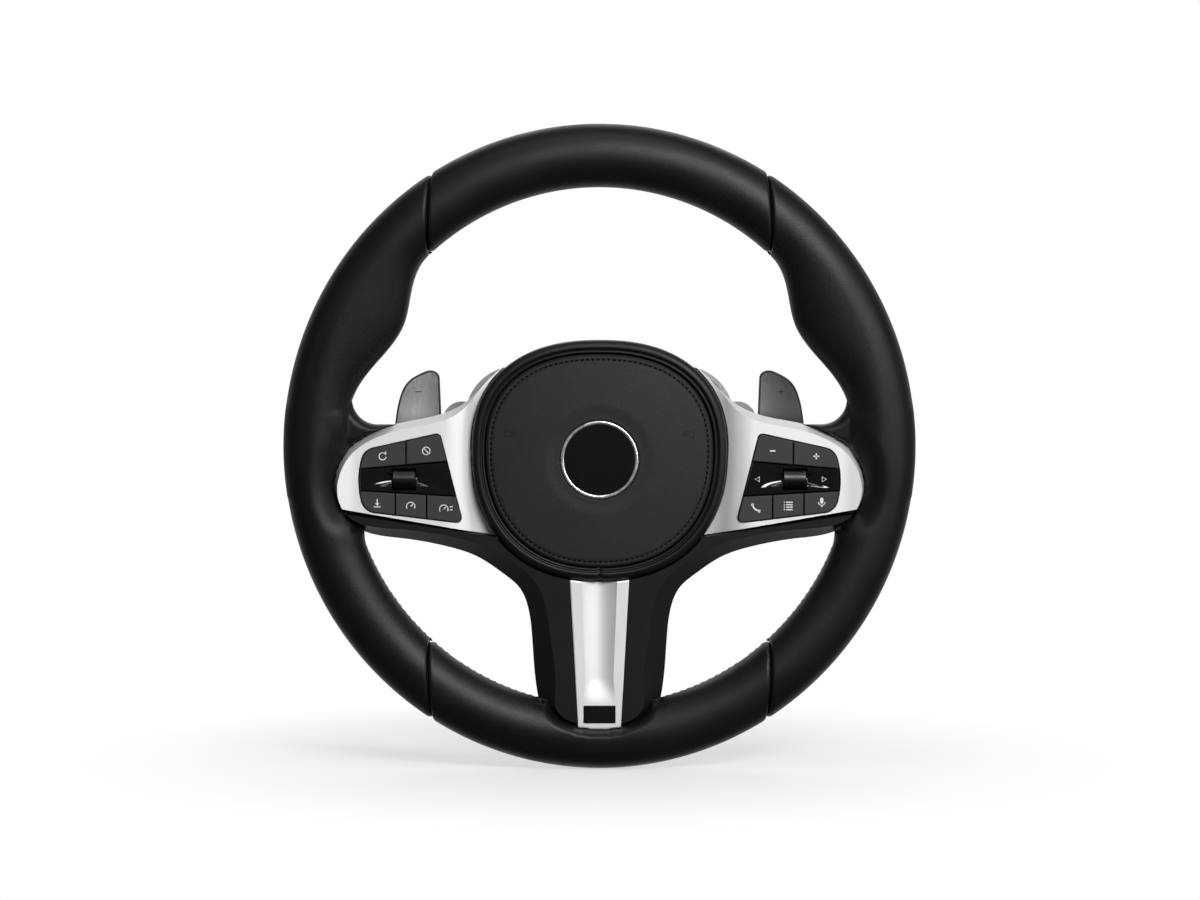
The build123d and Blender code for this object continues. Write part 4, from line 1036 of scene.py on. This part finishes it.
class WHEEL_OT_airbag_cover(bpy.types.Operator):
    """Makes the crowned leather cover of the airbag with its dish and sewn edge"""

    bl_idname = "wheel.airbag_cover"
    bl_label = "Airbag Cover"

    def execute(self, context):
        airbag = context.scene.wheel_airbag
        x, z = egg(airbag, egg_turns(airbag, 300), airbag.band + airbag.gap)
        self.cover(airbag, x, z)
        self.stitches(airbag, x, z, context.scene.wheel_stitches)
        self.marks(airbag)
        return {"FINISHED"}

    def cover(self, airbag, edge_x, edge_z):
        """Leather from the emblem's recess over the front and round the edge."""
        skirt = (0.062, 0.056, 0.0522)  # depths of the rows down the side
        far = np.hypot(edge_x, edge_z - airbag.emblem_z)
        way_x = edge_x / far
        way_z = (edge_z - airbag.emblem_z) / far
        seat_z = airbag.emblem_z + way_z * airbag.emblem
        rows = [to_row(way_x * airbag.emblem, airbag.emblem_floor, seat_z)]
        radii = [np.full_like(far, radius) for radius in np.linspace(airbag.emblem, DISH_RIM, 20)]
        shares = runs(0.0, 34, 0.86, 22, 0.97, 14, 1.0)
        radii.extend(DISH_RIM + (far - DISH_RIM) * share for share in shares[1:])
        drop = 0.0004  # rounding of the recess's edge
        for radius in radii:
            x = way_x * radius
            z = airbag.emblem_z + way_z * radius
            rows.append(to_row(x, cover_depth(airbag, x, z, np.maximum(far - radius, 0.0)) - drop, z))
            drop = 0.0
        rows.extend(to_row(edge_x, depth, edge_z) for depth in skirt)
        middles = [(0.0, -depth, airbag.emblem_z) for depth in (airbag.emblem_floor, skirt[-1])]
        columns = len(far)
        faces = grid_faces(len(rows), columns)
        middle = len(rows) * columns
        last = middle - columns
        for j in range(columns):
            k = (j + 1) % columns
            faces.append((j, middle, k))
            faces.append((last + j, last + k, middle + 1))
        leather = finishes()["grey_leather"]
        points = np.concatenate([*rows, middles])
        cover = new_piece("airbag_cover_leather", points, faces, leather, "airbag_module", "grey_leather")
        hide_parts("airbag_cover")

    def stitches(self, airbag, edge_x, edge_z, sewing):
        """Row of stitches inside the cover's edge."""
        lift = 0.00012  # of the thread's middle over the leather
        share = 1 - airbag.stitch_inset / np.hypot(edge_x, edge_z - airbag.emblem_z)
        x = edge_x * share
        z = airbag.emblem_z + (edge_z - airbag.emblem_z) * share
        line = to_row(x, cover_depth(airbag, x, z, airbag.stitch_inset) + lift, z)
        run = np.roll(line, -1, axis=0) - np.roll(line, 1, axis=0)
        sizes = (sewing.cover_spacing, sewing.cover_length, sewing.thread)
        sew("airbag_cover_stitches", [(line, run, True)], *sizes, finishes()["thread"], "airbag_module")

    def marks(self, airbag):
        """Horn mark on each side, in a near-black leather that paints the shade of its pressed-in lines."""
        place_x, place_z, thickness = 0.0527, 0.0088, 0.00003
        inset = 0.02  # distance from the cover's edge, past its roll and its stitches
        lines = (
            [(-3.6, 0.0), (-2.4, 0.5), (0.2, 0.7), (2.2, 2.0)],
            [(-3.6, -1.2), (-2.4, -1.6), (0.2, -1.8), (2.2, -3.0)],
            [(2.2, 2.0), (2.6, -0.5), (2.2, -3.0)],
            [(-3.6, 0.0), (-3.6, -1.2)],
        )
        # dark strokes paint the shade that falls in the pressed-in lines of the marks
        leather = finishes()["pressed_leather"]

        def surface(x, z):
            return cover_depth(airbag, x, z, inset)

        for side, sign in SIDES.items():
            horn = Symbol()
            for line in lines:
                horn.stroke(line, 0.32)
            if sign < 0:
                horn.points = [(-x, z) for x, z in horn.points]
                horn.faces = [tuple(reversed(face)) for face in horn.faces]
            place = (sign * place_x, place_z, surface, thickness)
            horn.lay(side + "_horn_mark", *place, leather, "airbag_module", "grey_leather")


class WHEEL_OT_airbag_band(bpy.types.Operator):
    """Makes the padded leather band around the airbag cover, with its join at the bottom"""

    bl_idname = "wheel.airbag_band"
    bl_label = "Airbag Band"

    def execute(self, context):
        airbag = context.scene.wheel_airbag
        turns = egg_turns(airbag, 420)
        join_width, join_depth, join_rise, join_back = 0.0008, 0.0013, 0.0010, 0.004  # notch at the join
        rows = []
        for inset, depth in self.profile(airbag):
            x, z = egg(airbag, turns, inset)
            join = np.exp(-((x / join_width) ** 2)) * (z < 0)
            sunk = join_depth * join * (depth > airbag.band_back + join_back)
            rows.append(to_row(x, depth - sunk, z + join_rise * join))
        faces = grid_faces(len(rows), len(turns), closed=True)
        leather = finishes()["black_leather"]
        points = np.concatenate(rows)
        band = new_piece("airbag_band_leather", points, faces, leather, "airbag_module", "black_leather")
        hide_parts("airbag_band")
        return {"FINISHED"}

    def profile(self, airbag):
        """Insets and depths round the band's section: outer wall, rounded front, crease, bead, inner wall."""
        back, front, width, bead = airbag.band_back, airbag.band_front, airbag.band, airbag.bead
        round_width, round_depth = 0.0040, 0.0045
        crease = ((0.0046, 0.0001), (0.0050, 0.0005), (0.0053, 0.0012), (0.0055, 0.0016), (0.0057, 0.0015))
        bead_drop, wall_drop = 0.0012, 0.0030
        profile = [(0.0, depth) for depth in np.linspace(back, front - round_depth, 7)]
        for swing in np.radians(np.linspace(0.0, 90.0, 10)[1:]):
            profile.append((round_width * (1 - math.cos(swing)), front - round_depth * (1 - math.sin(swing))))
        profile.extend((inset, front - drop) for inset, drop in crease)
        for swing in np.radians(np.linspace(160.0, 0.0, 11)):
            place = width - bead * (1 - math.cos(swing))
            profile.append((place, front - bead_drop - bead * (1 - math.sin(swing))))
        profile.extend((width, depth) for depth in np.linspace(front - wall_drop, back, 6))
        return profile


SETTLE = 4  # rounds in which width and height on a front settle


def framed(name, label, slot, body, rows, columns, flat, depth, edge, back):
    """Piece for a solid: a front with an open room at rows and columns 0 to 1, walls and a back."""
    depth[(0, -1), :] -= edge
    depth[:, (0, -1)] -= edge
    x, z = flat[..., 0], flat[..., 1]
    points = np.concatenate([to_row(x, surface, z).reshape(-1, 3) for surface in (depth, back)])
    inside = np.outer((rows >= 0) & (rows <= 1), (columns >= 0) & (columns <= 1)).ravel()
    faces = [face for face in grid_faces(*depth.shape, wrap=False) if not all(inside[i] for i in face)]
    behind = depth.size
    faces.extend([tuple(behind + i for i in reversed(face)) for face in faces])
    used = {(a, b) for face in faces for a, b in zip(face, face[1:] + face[:1])}
    faces.extend((b, a, a + behind, b + behind) for a, b in sorted(used) if (b, a) not in used and a < behind)
    piece = new_piece(label, points, faces, finishes()[slot], body, slot)
    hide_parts(name)
    return piece


def wall(tree, start, way, span):
    """Distance from a point to a solid's outermost wall on one side."""
    hit = tree.ray_cast(start + way * span, -way)
    if hit[0] is None:
        raise RuntimeError("a solid's wall was not found")
    return (hit[0] - start).dot(way)


class WHEEL_OT_insert(bpy.types.Operator):
    """Makes the silver inlay of the lower spoke, with a scoop that runs out towards the plate"""

    bl_idname = "wheel.insert"
    bl_label = "Spoke Inlay"
    probe = -0.0575  # place along the column at which the solid's walls are measured

    def execute(self, context):
        insert = context.scene.wheel_insert
        tree = solid_tree("lower_insert")
        columns = runs(-1.0, 12, 0.0, 41, 1.0, 12, 2.0)
        rows = runs(-1.0, 5, 0.0, 9, 1.0, 90, 2.0)

        def place(row, column):
            x = 0.0
            for _ in range(SETTLE):
                z = self.upright(tree, row, x, insert)
                x = self.across(tree, column, z, insert)
            return x, z

        flat = np.array([[place(row, column) for column in columns] for row in rows])
        depth = insert.face - self.scoop(flat[..., 0], flat[..., 1], insert)
        names = ("lower_insert", "lower_insert_inlay", "satin_silver", "wheel")
        piece = framed(*names, rows, columns, flat, depth, insert.edge, insert.back)
        piece.data.set_sharp_from_angle(angle=math.radians(18.0))
        return {"FINISHED"}

    def width(self, z, insert):
        """Half width of the scoop at a height, running into the recess's width below it."""
        slope = (insert.scoop_wide - insert.scoop_narrow) / (insert.scoop_top - insert.scoop_turn)
        run = smooth((insert.scoop_turn - z) / (insert.scoop_turn - insert.plate_top))
        low = insert.scoop_narrow + (insert.plate_half - insert.scoop_narrow) * run
        return np.where(z > insert.scoop_turn, insert.scoop_narrow + slope * (z - insert.scoop_turn), low)

    def scoop(self, x, z, insert):
        """Depth of the scoop at a place."""
        slope = (insert.scoop_deep - insert.scoop_shallow) / (insert.scoop_top - insert.scoop_turn)
        deep = insert.scoop_shallow + slope * np.maximum(z - insert.scoop_turn, 0.0)
        run = smooth((z - insert.plate_top) / (insert.scoop_turn - insert.plate_top))
        return deep * run * np.maximum(1 - (x / self.width(z, insert)) ** 2, 0.0)

    def across(self, tree, column, z, insert):
        """Width on the inlay: 0 to 1 over the scoop and the recess, and out to the edges at -1 and 2."""
        near = float(self.width(np.array(z), insert))
        if 0.0 <= column <= 1.0:
            return (2 * column - 1) * near
        levels = (-0.145, -0.1)  # heights at which the straight sides are measured
        right = Vector((1.0, 0.0, 0.0))
        low, high = (wall(tree, Vector((0.0, self.probe, level)), right, 0.05) for level in levels)
        end = low + (high - low) * (z - levels[0]) / (levels[1] - levels[0])
        return -near + (end - near) * column if column < 0 else near + (end - near) * (column - 1)

    def upright(self, tree, row, x, insert):
        """Height on the inlay: 0 to 1 over the recess, and out to the edges at -1 and 2."""
        near = insert.plate_low + (insert.plate_top - insert.plate_low) * clamp(row)
        if 0.0 <= row <= 1.0:
            return near
        low_limit, top_limit = 0.0120, 0.0168  # half widths within which these edges are measured
        way, limit, share = (-1.0, low_limit, -row) if row < 0 else (1.0, top_limit, row - 1)
        start = Vector((clamp(x, -limit, limit), self.probe, near))
        return near + way * share * wall(tree, start, Vector((0.0, 0.0, way)), 0.12)


class WHEEL_OT_springs(bpy.types.Operator):
    """Makes plain copies of the coil springs, which ride on the wheel"""

    bl_idname = "wheel.springs"
    bl_label = "Springs"

    def execute(self, context):
        springs = context.scene.wheel_springs
        self.coil("horn_springs", "horn_push", springs.horn_foot, springs.horn_travel)
        for side in SIDES:
            names = (side + "_paddle_spring", side + "_paddle_pull")
            self.coil(*names, springs.paddle_foot, springs.paddle_travel)
        return {"FINISHED"}

    def coil(self, name, joint, foot, travel):
        """Copy of some springs, with doubled points merged, that rides on the wheel."""
        tidy = bmesh.new()
        tidy.from_mesh(NODES[name].data)
        bmesh.ops.remove_doubles(tidy, verts=tidy.verts, dist=0.000001)
        mesh = bpy.data.meshes.new(name + "_coils")
        tidy.to_mesh(mesh)
        tidy.free()
        mesh.shade_smooth()
        mesh.materials.append(finishes()["steel"])
        piece = linked(name + "_coils", mesh)
        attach(piece, "wheel")
        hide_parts(name)
        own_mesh(piece)


class WHEEL_OT_rockers(bpy.types.Operator):
    """Makes the gloss rockers with a finger scoop on each side of the roller"""

    bl_idname = "wheel.rockers"
    bl_label = "Rockers"

    def execute(self, context):
        rocker = context.scene.wheel_rocker
        for side, sign in SIDES.items():
            self.rocker(side + "_rocker", sign, rocker)
        return {"FINISHED"}

    def rocker(self, name, sign, rocker):
        """One rocker as a front with a room for the roller, a skirt and a back."""
        tree = solid_tree(name)
        mid_x = sign * rocker.middle_x
        sides = runs(-1.0, 30, 0.0, 7, 1.0, 30, 2.0)
        stops = runs(-1.0, 9, 0.0, 41, 1.0, 9, 2.0)

        def place(stop, side):
            z = rocker.middle_z
            for _ in range(SETTLE):
                x = self.across(tree, side, z, mid_x, rocker)
                z = self.upright(stop, x, rocker)
            return x, z

        flat = np.array([[place(stop, side) for side in sides] for stop in stops])
        depth = rocker_depth(rocker, flat[..., 0], flat[..., 1])
        names = (name, name + "_gloss", "gloss_black", name)
        piece = framed(*names, stops, sides, flat, depth, rocker.edge, rocker.back)
        piece.data.set_sharp_from_angle(angle=math.radians(35.0))

    def across(self, tree, place, z, mid_x, rocker):
        """Width on the rocker: 0 to 1 over the roller's room, and out to the ends at -1 and 2."""
        near = mid_x + (2 * clamp(place) - 1) * rocker.room_width
        if 0.0 <= place <= 1.0:
            return near
        way, share = (-1.0, -place) if place < 0 else (1.0, place - 1.0)
        level = z + (rocker.middle_z - z) * 0.03  # a little inside, clear of the solid's edges
        end = wall(tree, Vector((near, -0.0605, level)), Vector((way, 0.0, 0.0)), 0.06)
        return near + way * end * share

    def upright(self, stop, x, rocker):
        """Height on the rocker: 0 to 1 over the roller's room, and out to the edges at -1 and 2."""
        near = rocker.middle_z + (2 * clamp(stop) - 1) * rocker.room_height
        along = (abs(x) - rocker.inner_x) / rocker.run
        if stop < 0:
            return near + (near - rocker.low_inner - (rocker.low_outer - rocker.low_inner) * along) * stop
        if stop > 1:
            top = rocker.top_inner + (rocker.top_outer - rocker.top_inner) * along
            return near + (top - near) * (stop - 1.0)
        return near


def microphone_body():
    """Corners of a microphone's long round body."""
    turns = np.radians(np.arange(0, 360, 30))
    lifts = [0.6 if math.sin(t) > 0 else -0.6 for t in turns]
    return [(0.75 * math.cos(t), 1.1 + 0.75 * math.sin(t) + lift) for t, lift in zip(turns, lifts)]


DIAL = [("arc", 0, -0.2, 1.9, -30, 210, 0.4), ("stroke", [(0, -0.2), (1.0, 0.9)], 0.42)]
LIST_LINES = [
    ("stroke", [(start, 1.65 - 1.1 * row), (end, 1.65 - 1.1 * row)], 0.5)
    for row in range(4)
    for start, end in ((-2.0, -1.5), (-1.0, 2.0))
]
KEY_MARKS = {
    "right_key_top_inner": [("stroke", [(-1.2, 0), (1.2, 0)], 0.6)],
    "right_key_top_outer": [("stroke", [(-1.3, 0), (1.3, 0)], 0.6), ("stroke", [(0, -1.3), (0, 1.3)], 0.6)],
    "right_key_low_inner": [  # telephone receiver
        ("arc", 1.9, 2.1, 3.0, 183, 267, 0.7),
        ("area", [(-1.75, 1.2), (-0.55, 1.75), (-0.6, 2.4), (-1.7, 2.2)]),
        ("area", [(1.3, -1.65), (1.7, -0.5), (2.4, -0.55), (2.2, -1.75)]),
    ],
    "right_key_low_middle": LIST_LINES,
    "right_key_low_outer": [  # microphone on a stand
        ("area", microphone_body()),
        ("arc", 0, 0.5, 1.5, 180, 360, 0.38),
        ("stroke", [(0, -1.0), (0, -1.9)], 0.45),
    ],
    "left_key_top_outer": [  # open circle with an arrow head
        ("arc", 0, 0, 1.6, 60, 350, 0.42),
        ("area", [(0.3, 1.5), (1.6, 2.2), (1.5, 0.6)]),
    ],
    "left_key_top_inner": [  # crossed circle
        ("arc", 0, 0, 1.7, 0, 360, 0.4),
        ("stroke", [(-1.15, 1.15), (1.15, -1.15)], 0.4),
    ],
    "left_key_low_outer": [  # arrow down to a line
        ("stroke", [(0, 1.8), (0, -0.2)], 0.5),
        ("area", [(-1.0, -0.1), (0, -1.2), (1.0, -0.1)]),
        ("stroke", [(-1.5, -1.7), (1.5, -1.7)], 0.45),
    ],
    "left_key_low_middle": DIAL,
    "left_key_low_inner": DIAL + [("stroke", [(2.7, z), (4.0, z)], 0.45) for z in (0.9, -0.5)],
}


class WHEEL_OT_key_symbols(bpy.types.Operator):
    """Prints plain symbols on the keys and the rockers"""

    bl_idname = "wheel.key_symbols"
    bl_label = "Key Symbols"

    def execute(self, context):
        material = finishes()["symbol"]
        key_scale, top_drop, key_thickness, rocker_thickness = 1.3, 0.0008, 0.00004, 0.00005
        for node, marks in KEY_MARKS.items():
            symbol = Symbol()
            for kind, *values in marks:
                getattr(symbol, kind)(*values)
            low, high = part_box(node)
            x = (low.x + high.x) / 2
            z = (low.z + high.z) / 2 - (top_drop if "top" in node else 0.0)
            symbol.scale(key_scale)
            symbol.lay(node + "_symbol", x, z, -low.y, key_thickness, material, node, "key_grey")
        rocker = context.scene.wheel_rocker
        depth = partial(rocker_depth, rocker)
        for name, x, turn in (("inner", 0.0925, -1), ("outer", 0.1311, 1)):
            arrow = [(-0.95 * turn, 1.5), (-0.95 * turn, -1.5), (1.5 * turn, 0.0)]
            place = (x, rocker.middle_z, depth, rocker_thickness)
            mark = Symbol().stroke(arrow, 0.5, True)
            mark.lay("right_rocker_mark_" + name, *place, material, "right_rocker", "gloss_black")
        return {"FINISHED"}


class WHEEL_OT_paddle_marks(bpy.types.Operator):
    """Prints a minus on the left paddle and a plus on the right one"""

    bl_idname = "wheel.paddle_marks"
    bl_label = "Paddle Marks"

    def execute(self, context):
        material = finishes()["paddle_mark"]
        place_x, place_z, thickness = 0.1078, 0.0314, 0.00004
        hollow_x, hollow_depth, hollow = 0.092, 0.086, 0.07  # middle and radius of the blade's hollow front

        def blade(x, _):
            return hollow_depth - np.sqrt(hollow ** 2 - (np.abs(x) - hollow_x) ** 2)

        for side, sign in SIDES.items():
            mark = Symbol().stroke([(-1.9, 0), (0, 0), (1.9, 0)], 0.5)
            if side == "right":
                mark.stroke([(0, -1.9), (0, 1.9)], 0.5)
            place = (sign * place_x, place_z, blade, thickness)
            mark.lay(side + "_paddle_mark", *place, material, side + "_paddle", "paddle_metal")
        return {"FINISHED"}


class WHEEL_OT_stage(bpy.types.Operator):
    """Sets up floor, light and camera"""

    bl_idname = "wheel.stage"
    bl_label = "Stage"

    def execute(self, context):
        stage = context.scene.wheel_stage
        scene = context.scene
        scene.view_settings.view_transform = "Standard"
        self.floor(stage)
        self.world(scene)
        middle = (0.0, -0.05, 0.0)
        lamps = (  # name, place, aim, width, height and power
            ("key_box", (0.7, -2.0, 1.1), middle, 1.1, 0.8, 49.0),
            ("right_box", (1.75, -1.2, 0.35), middle, 0.5, 1.2, 9.0),
            ("top_box", (0.0, -0.7, 1.7), (0.0, -0.05, 0.05), 1.2, 0.6, 5.0),
            ("left_box", (-1.6, -1.3, 0.5), middle, 0.4, 1.0, 1.0),
            ("back_box", (0.0, 1.2, 1.1), (0.0, 0.0, 0.0), 1.6, 0.7, 5.0),
        )
        for name, place, aim, width, height, power in lamps:
            light = bpy.data.lights.new(name, "AREA")
            light.shape = "RECTANGLE"
            light.size = width
            light.size_y = height
            light.energy = power
            lamp = linked(name, light)
            lamp.location = place
            lamp.rotation_euler = (Vector(aim) - Vector(place)).to_track_quat("-Z", "Y").to_euler()
        camera = bpy.data.cameras.new("camera")
        camera.sensor_width = 36.0
        camera.lens = camera.sensor_width * stage.distance / stage.view_width
        rig = linked("camera", camera)
        aim = Vector((0.0003, -0.054, -0.0018))  # middle of the picture
        tilt = math.radians(stage.elevation)
        rig.location = aim + Vector((0.0, -math.cos(tilt), math.sin(tilt))) * stage.distance
        rig.rotation_euler = (math.pi / 2 - tilt, 0.0, 0.0)
        scene.camera = rig
        return {"FINISHED"}

    def floor(self, stage):
        """Pale floor that fades into the white background."""
        finish = Finish("floor_paint")
        place = finish.place()
        far = finish.node("ShaderNodeVectorMath", {"operation": "LENGTH"}, {0: place}, "Value")
        fade = finish.ramp(far, 0.19, 0.38, 0.55, 1.0)  # distances over which the floor turns white
        speck = finish.tint(finish.noise(place, 0.05, 2.0), (0.86, 0.86, 0.86), (0.88, 0.88, 0.88))
        paint = finish.node("ShaderNodeBsdfPrincipled", None, {"Base Color": speck, "Roughness": 0.55})
        glow = finish.node("ShaderNodeEmission", None, {"Color": WHITE, "Strength": 1.0})
        seen, *others = (finish.node("ShaderNodeLightPath", out=name) for name in SEEN_RAYS)
        for ray in others:
            seen = seen.most(ray)
        mesh = bpy.data.meshes.new("floor")
        size = 12.0
        corners = ((-size, stage.floor_front), (size, stage.floor_front), (size, size), (-size, size))
        mesh.from_pydata([(x, y, stage.floor_z) for x, y in corners], [], [(0, 1, 2, 3)])
        mixed = finish.node("ShaderNodeMixShader", None, {0: fade * seen, 1: paint, 2: glow})
        mesh.materials.append(finish.end(mixed))
        floor = linked("floor", mesh)
        floor.visible_glossy = False

    def world(self, scene):
        """White background behind the wheel, also in its reflections, and dim fill light from the rest."""
        fill, fill_behind = 0.06, 0.3
        scene.world = bpy.data.worlds.new("studio")
        scene.world.use_nodes = True
        scene.world.node_tree.nodes.clear()
        node = partial(add_node, scene.world.node_tree)
        seen, glossy, passing = (node("ShaderNodeLightPath", out=name) for name in SEEN_RAYS)
        way = node("ShaderNodeSeparateXYZ", None, {0: node("ShaderNodeTexCoord", out="Generated")}, "Y")
        behind = (way * 1.6 - 0.4).most(0.0).least(1.0)  # from 0 ahead of the wheel to 1 behind it
        seen = seen.most(glossy.most(passing) * behind)
        light = {"Color": WHITE, "Strength": seen.most(fill + behind * fill_behind)}
        node("ShaderNodeOutputWorld", None, {"Surface": node("ShaderNodeBackground", None, light)})


class WHEEL_PT_panel(bpy.types.Panel):
    """Lists the steps that dress the wheel"""

    bl_idname = "WHEEL_PT_panel"
    bl_label = "Steering Wheel"
    bl_space_type = "VIEW_3D"
    bl_region_type = "UI"
    bl_category = "Wheel"

    def draw(self, context):
        for operator in OPERATORS:
            self.layout.operator(operator.bl_idname)


OPERATORS = (
    WHEEL_OT_finishes,
    WHEEL_OT_leather_rim,
    WHEEL_OT_rim_stitches,
    WHEEL_OT_airbag_cover,
    WHEEL_OT_airbag_band,
    WHEEL_OT_insert,
    WHEEL_OT_springs,
    WHEEL_OT_rockers,
    WHEEL_OT_key_symbols,
    WHEEL_OT_paddle_marks,
    WHEEL_OT_stage,
)
SETTINGS = {
    "wheel_rim": WheelRimSettings,
    "wheel_airbag": WheelAirbagSettings,
    "wheel_stitches": WheelStitchSettings,
    "wheel_rocker": WheelRockerSettings,
    "wheel_insert": WheelInsertSettings,
    "wheel_springs": WheelSpringSettings,
    "wheel_colours": WheelColourSettings,
    "wheel_stage": WheelStageSettings,
}


def register():
    for group in SETTINGS.values():
        bpy.utils.register_class(group)
    for name, group in SETTINGS.items():
        setattr(bpy.types.Scene, name, bpy.props.PointerProperty(type=group))
    for operator in OPERATORS:
        bpy.utils.register_class(operator)
    bpy.utils.register_class(WHEEL_PT_panel)


def unregister():
    bpy.utils.unregister_class(WHEEL_PT_panel)
    for operator in reversed(OPERATORS):
        bpy.utils.unregister_class(operator)
    for name, group in SETTINGS.items():
        delattr(bpy.types.Scene, name)
        bpy.utils.unregister_class(group)


def main():
    """Registers the add-on and dresses the wheel."""
    register()
    bpy.ops.wheel.finishes()
    bpy.ops.wheel.leather_rim()
    bpy.ops.wheel.rim_stitches()
    bpy.ops.wheel.airbag_cover()
    bpy.ops.wheel.airbag_band()
    bpy.ops.wheel.insert()
    bpy.ops.wheel.springs()
    bpy.ops.wheel.rockers()
    bpy.ops.wheel.key_symbols()
    bpy.ops.wheel.paddle_marks()
    bpy.ops.wheel.stage()


if __name__ == "__main__":
    main()
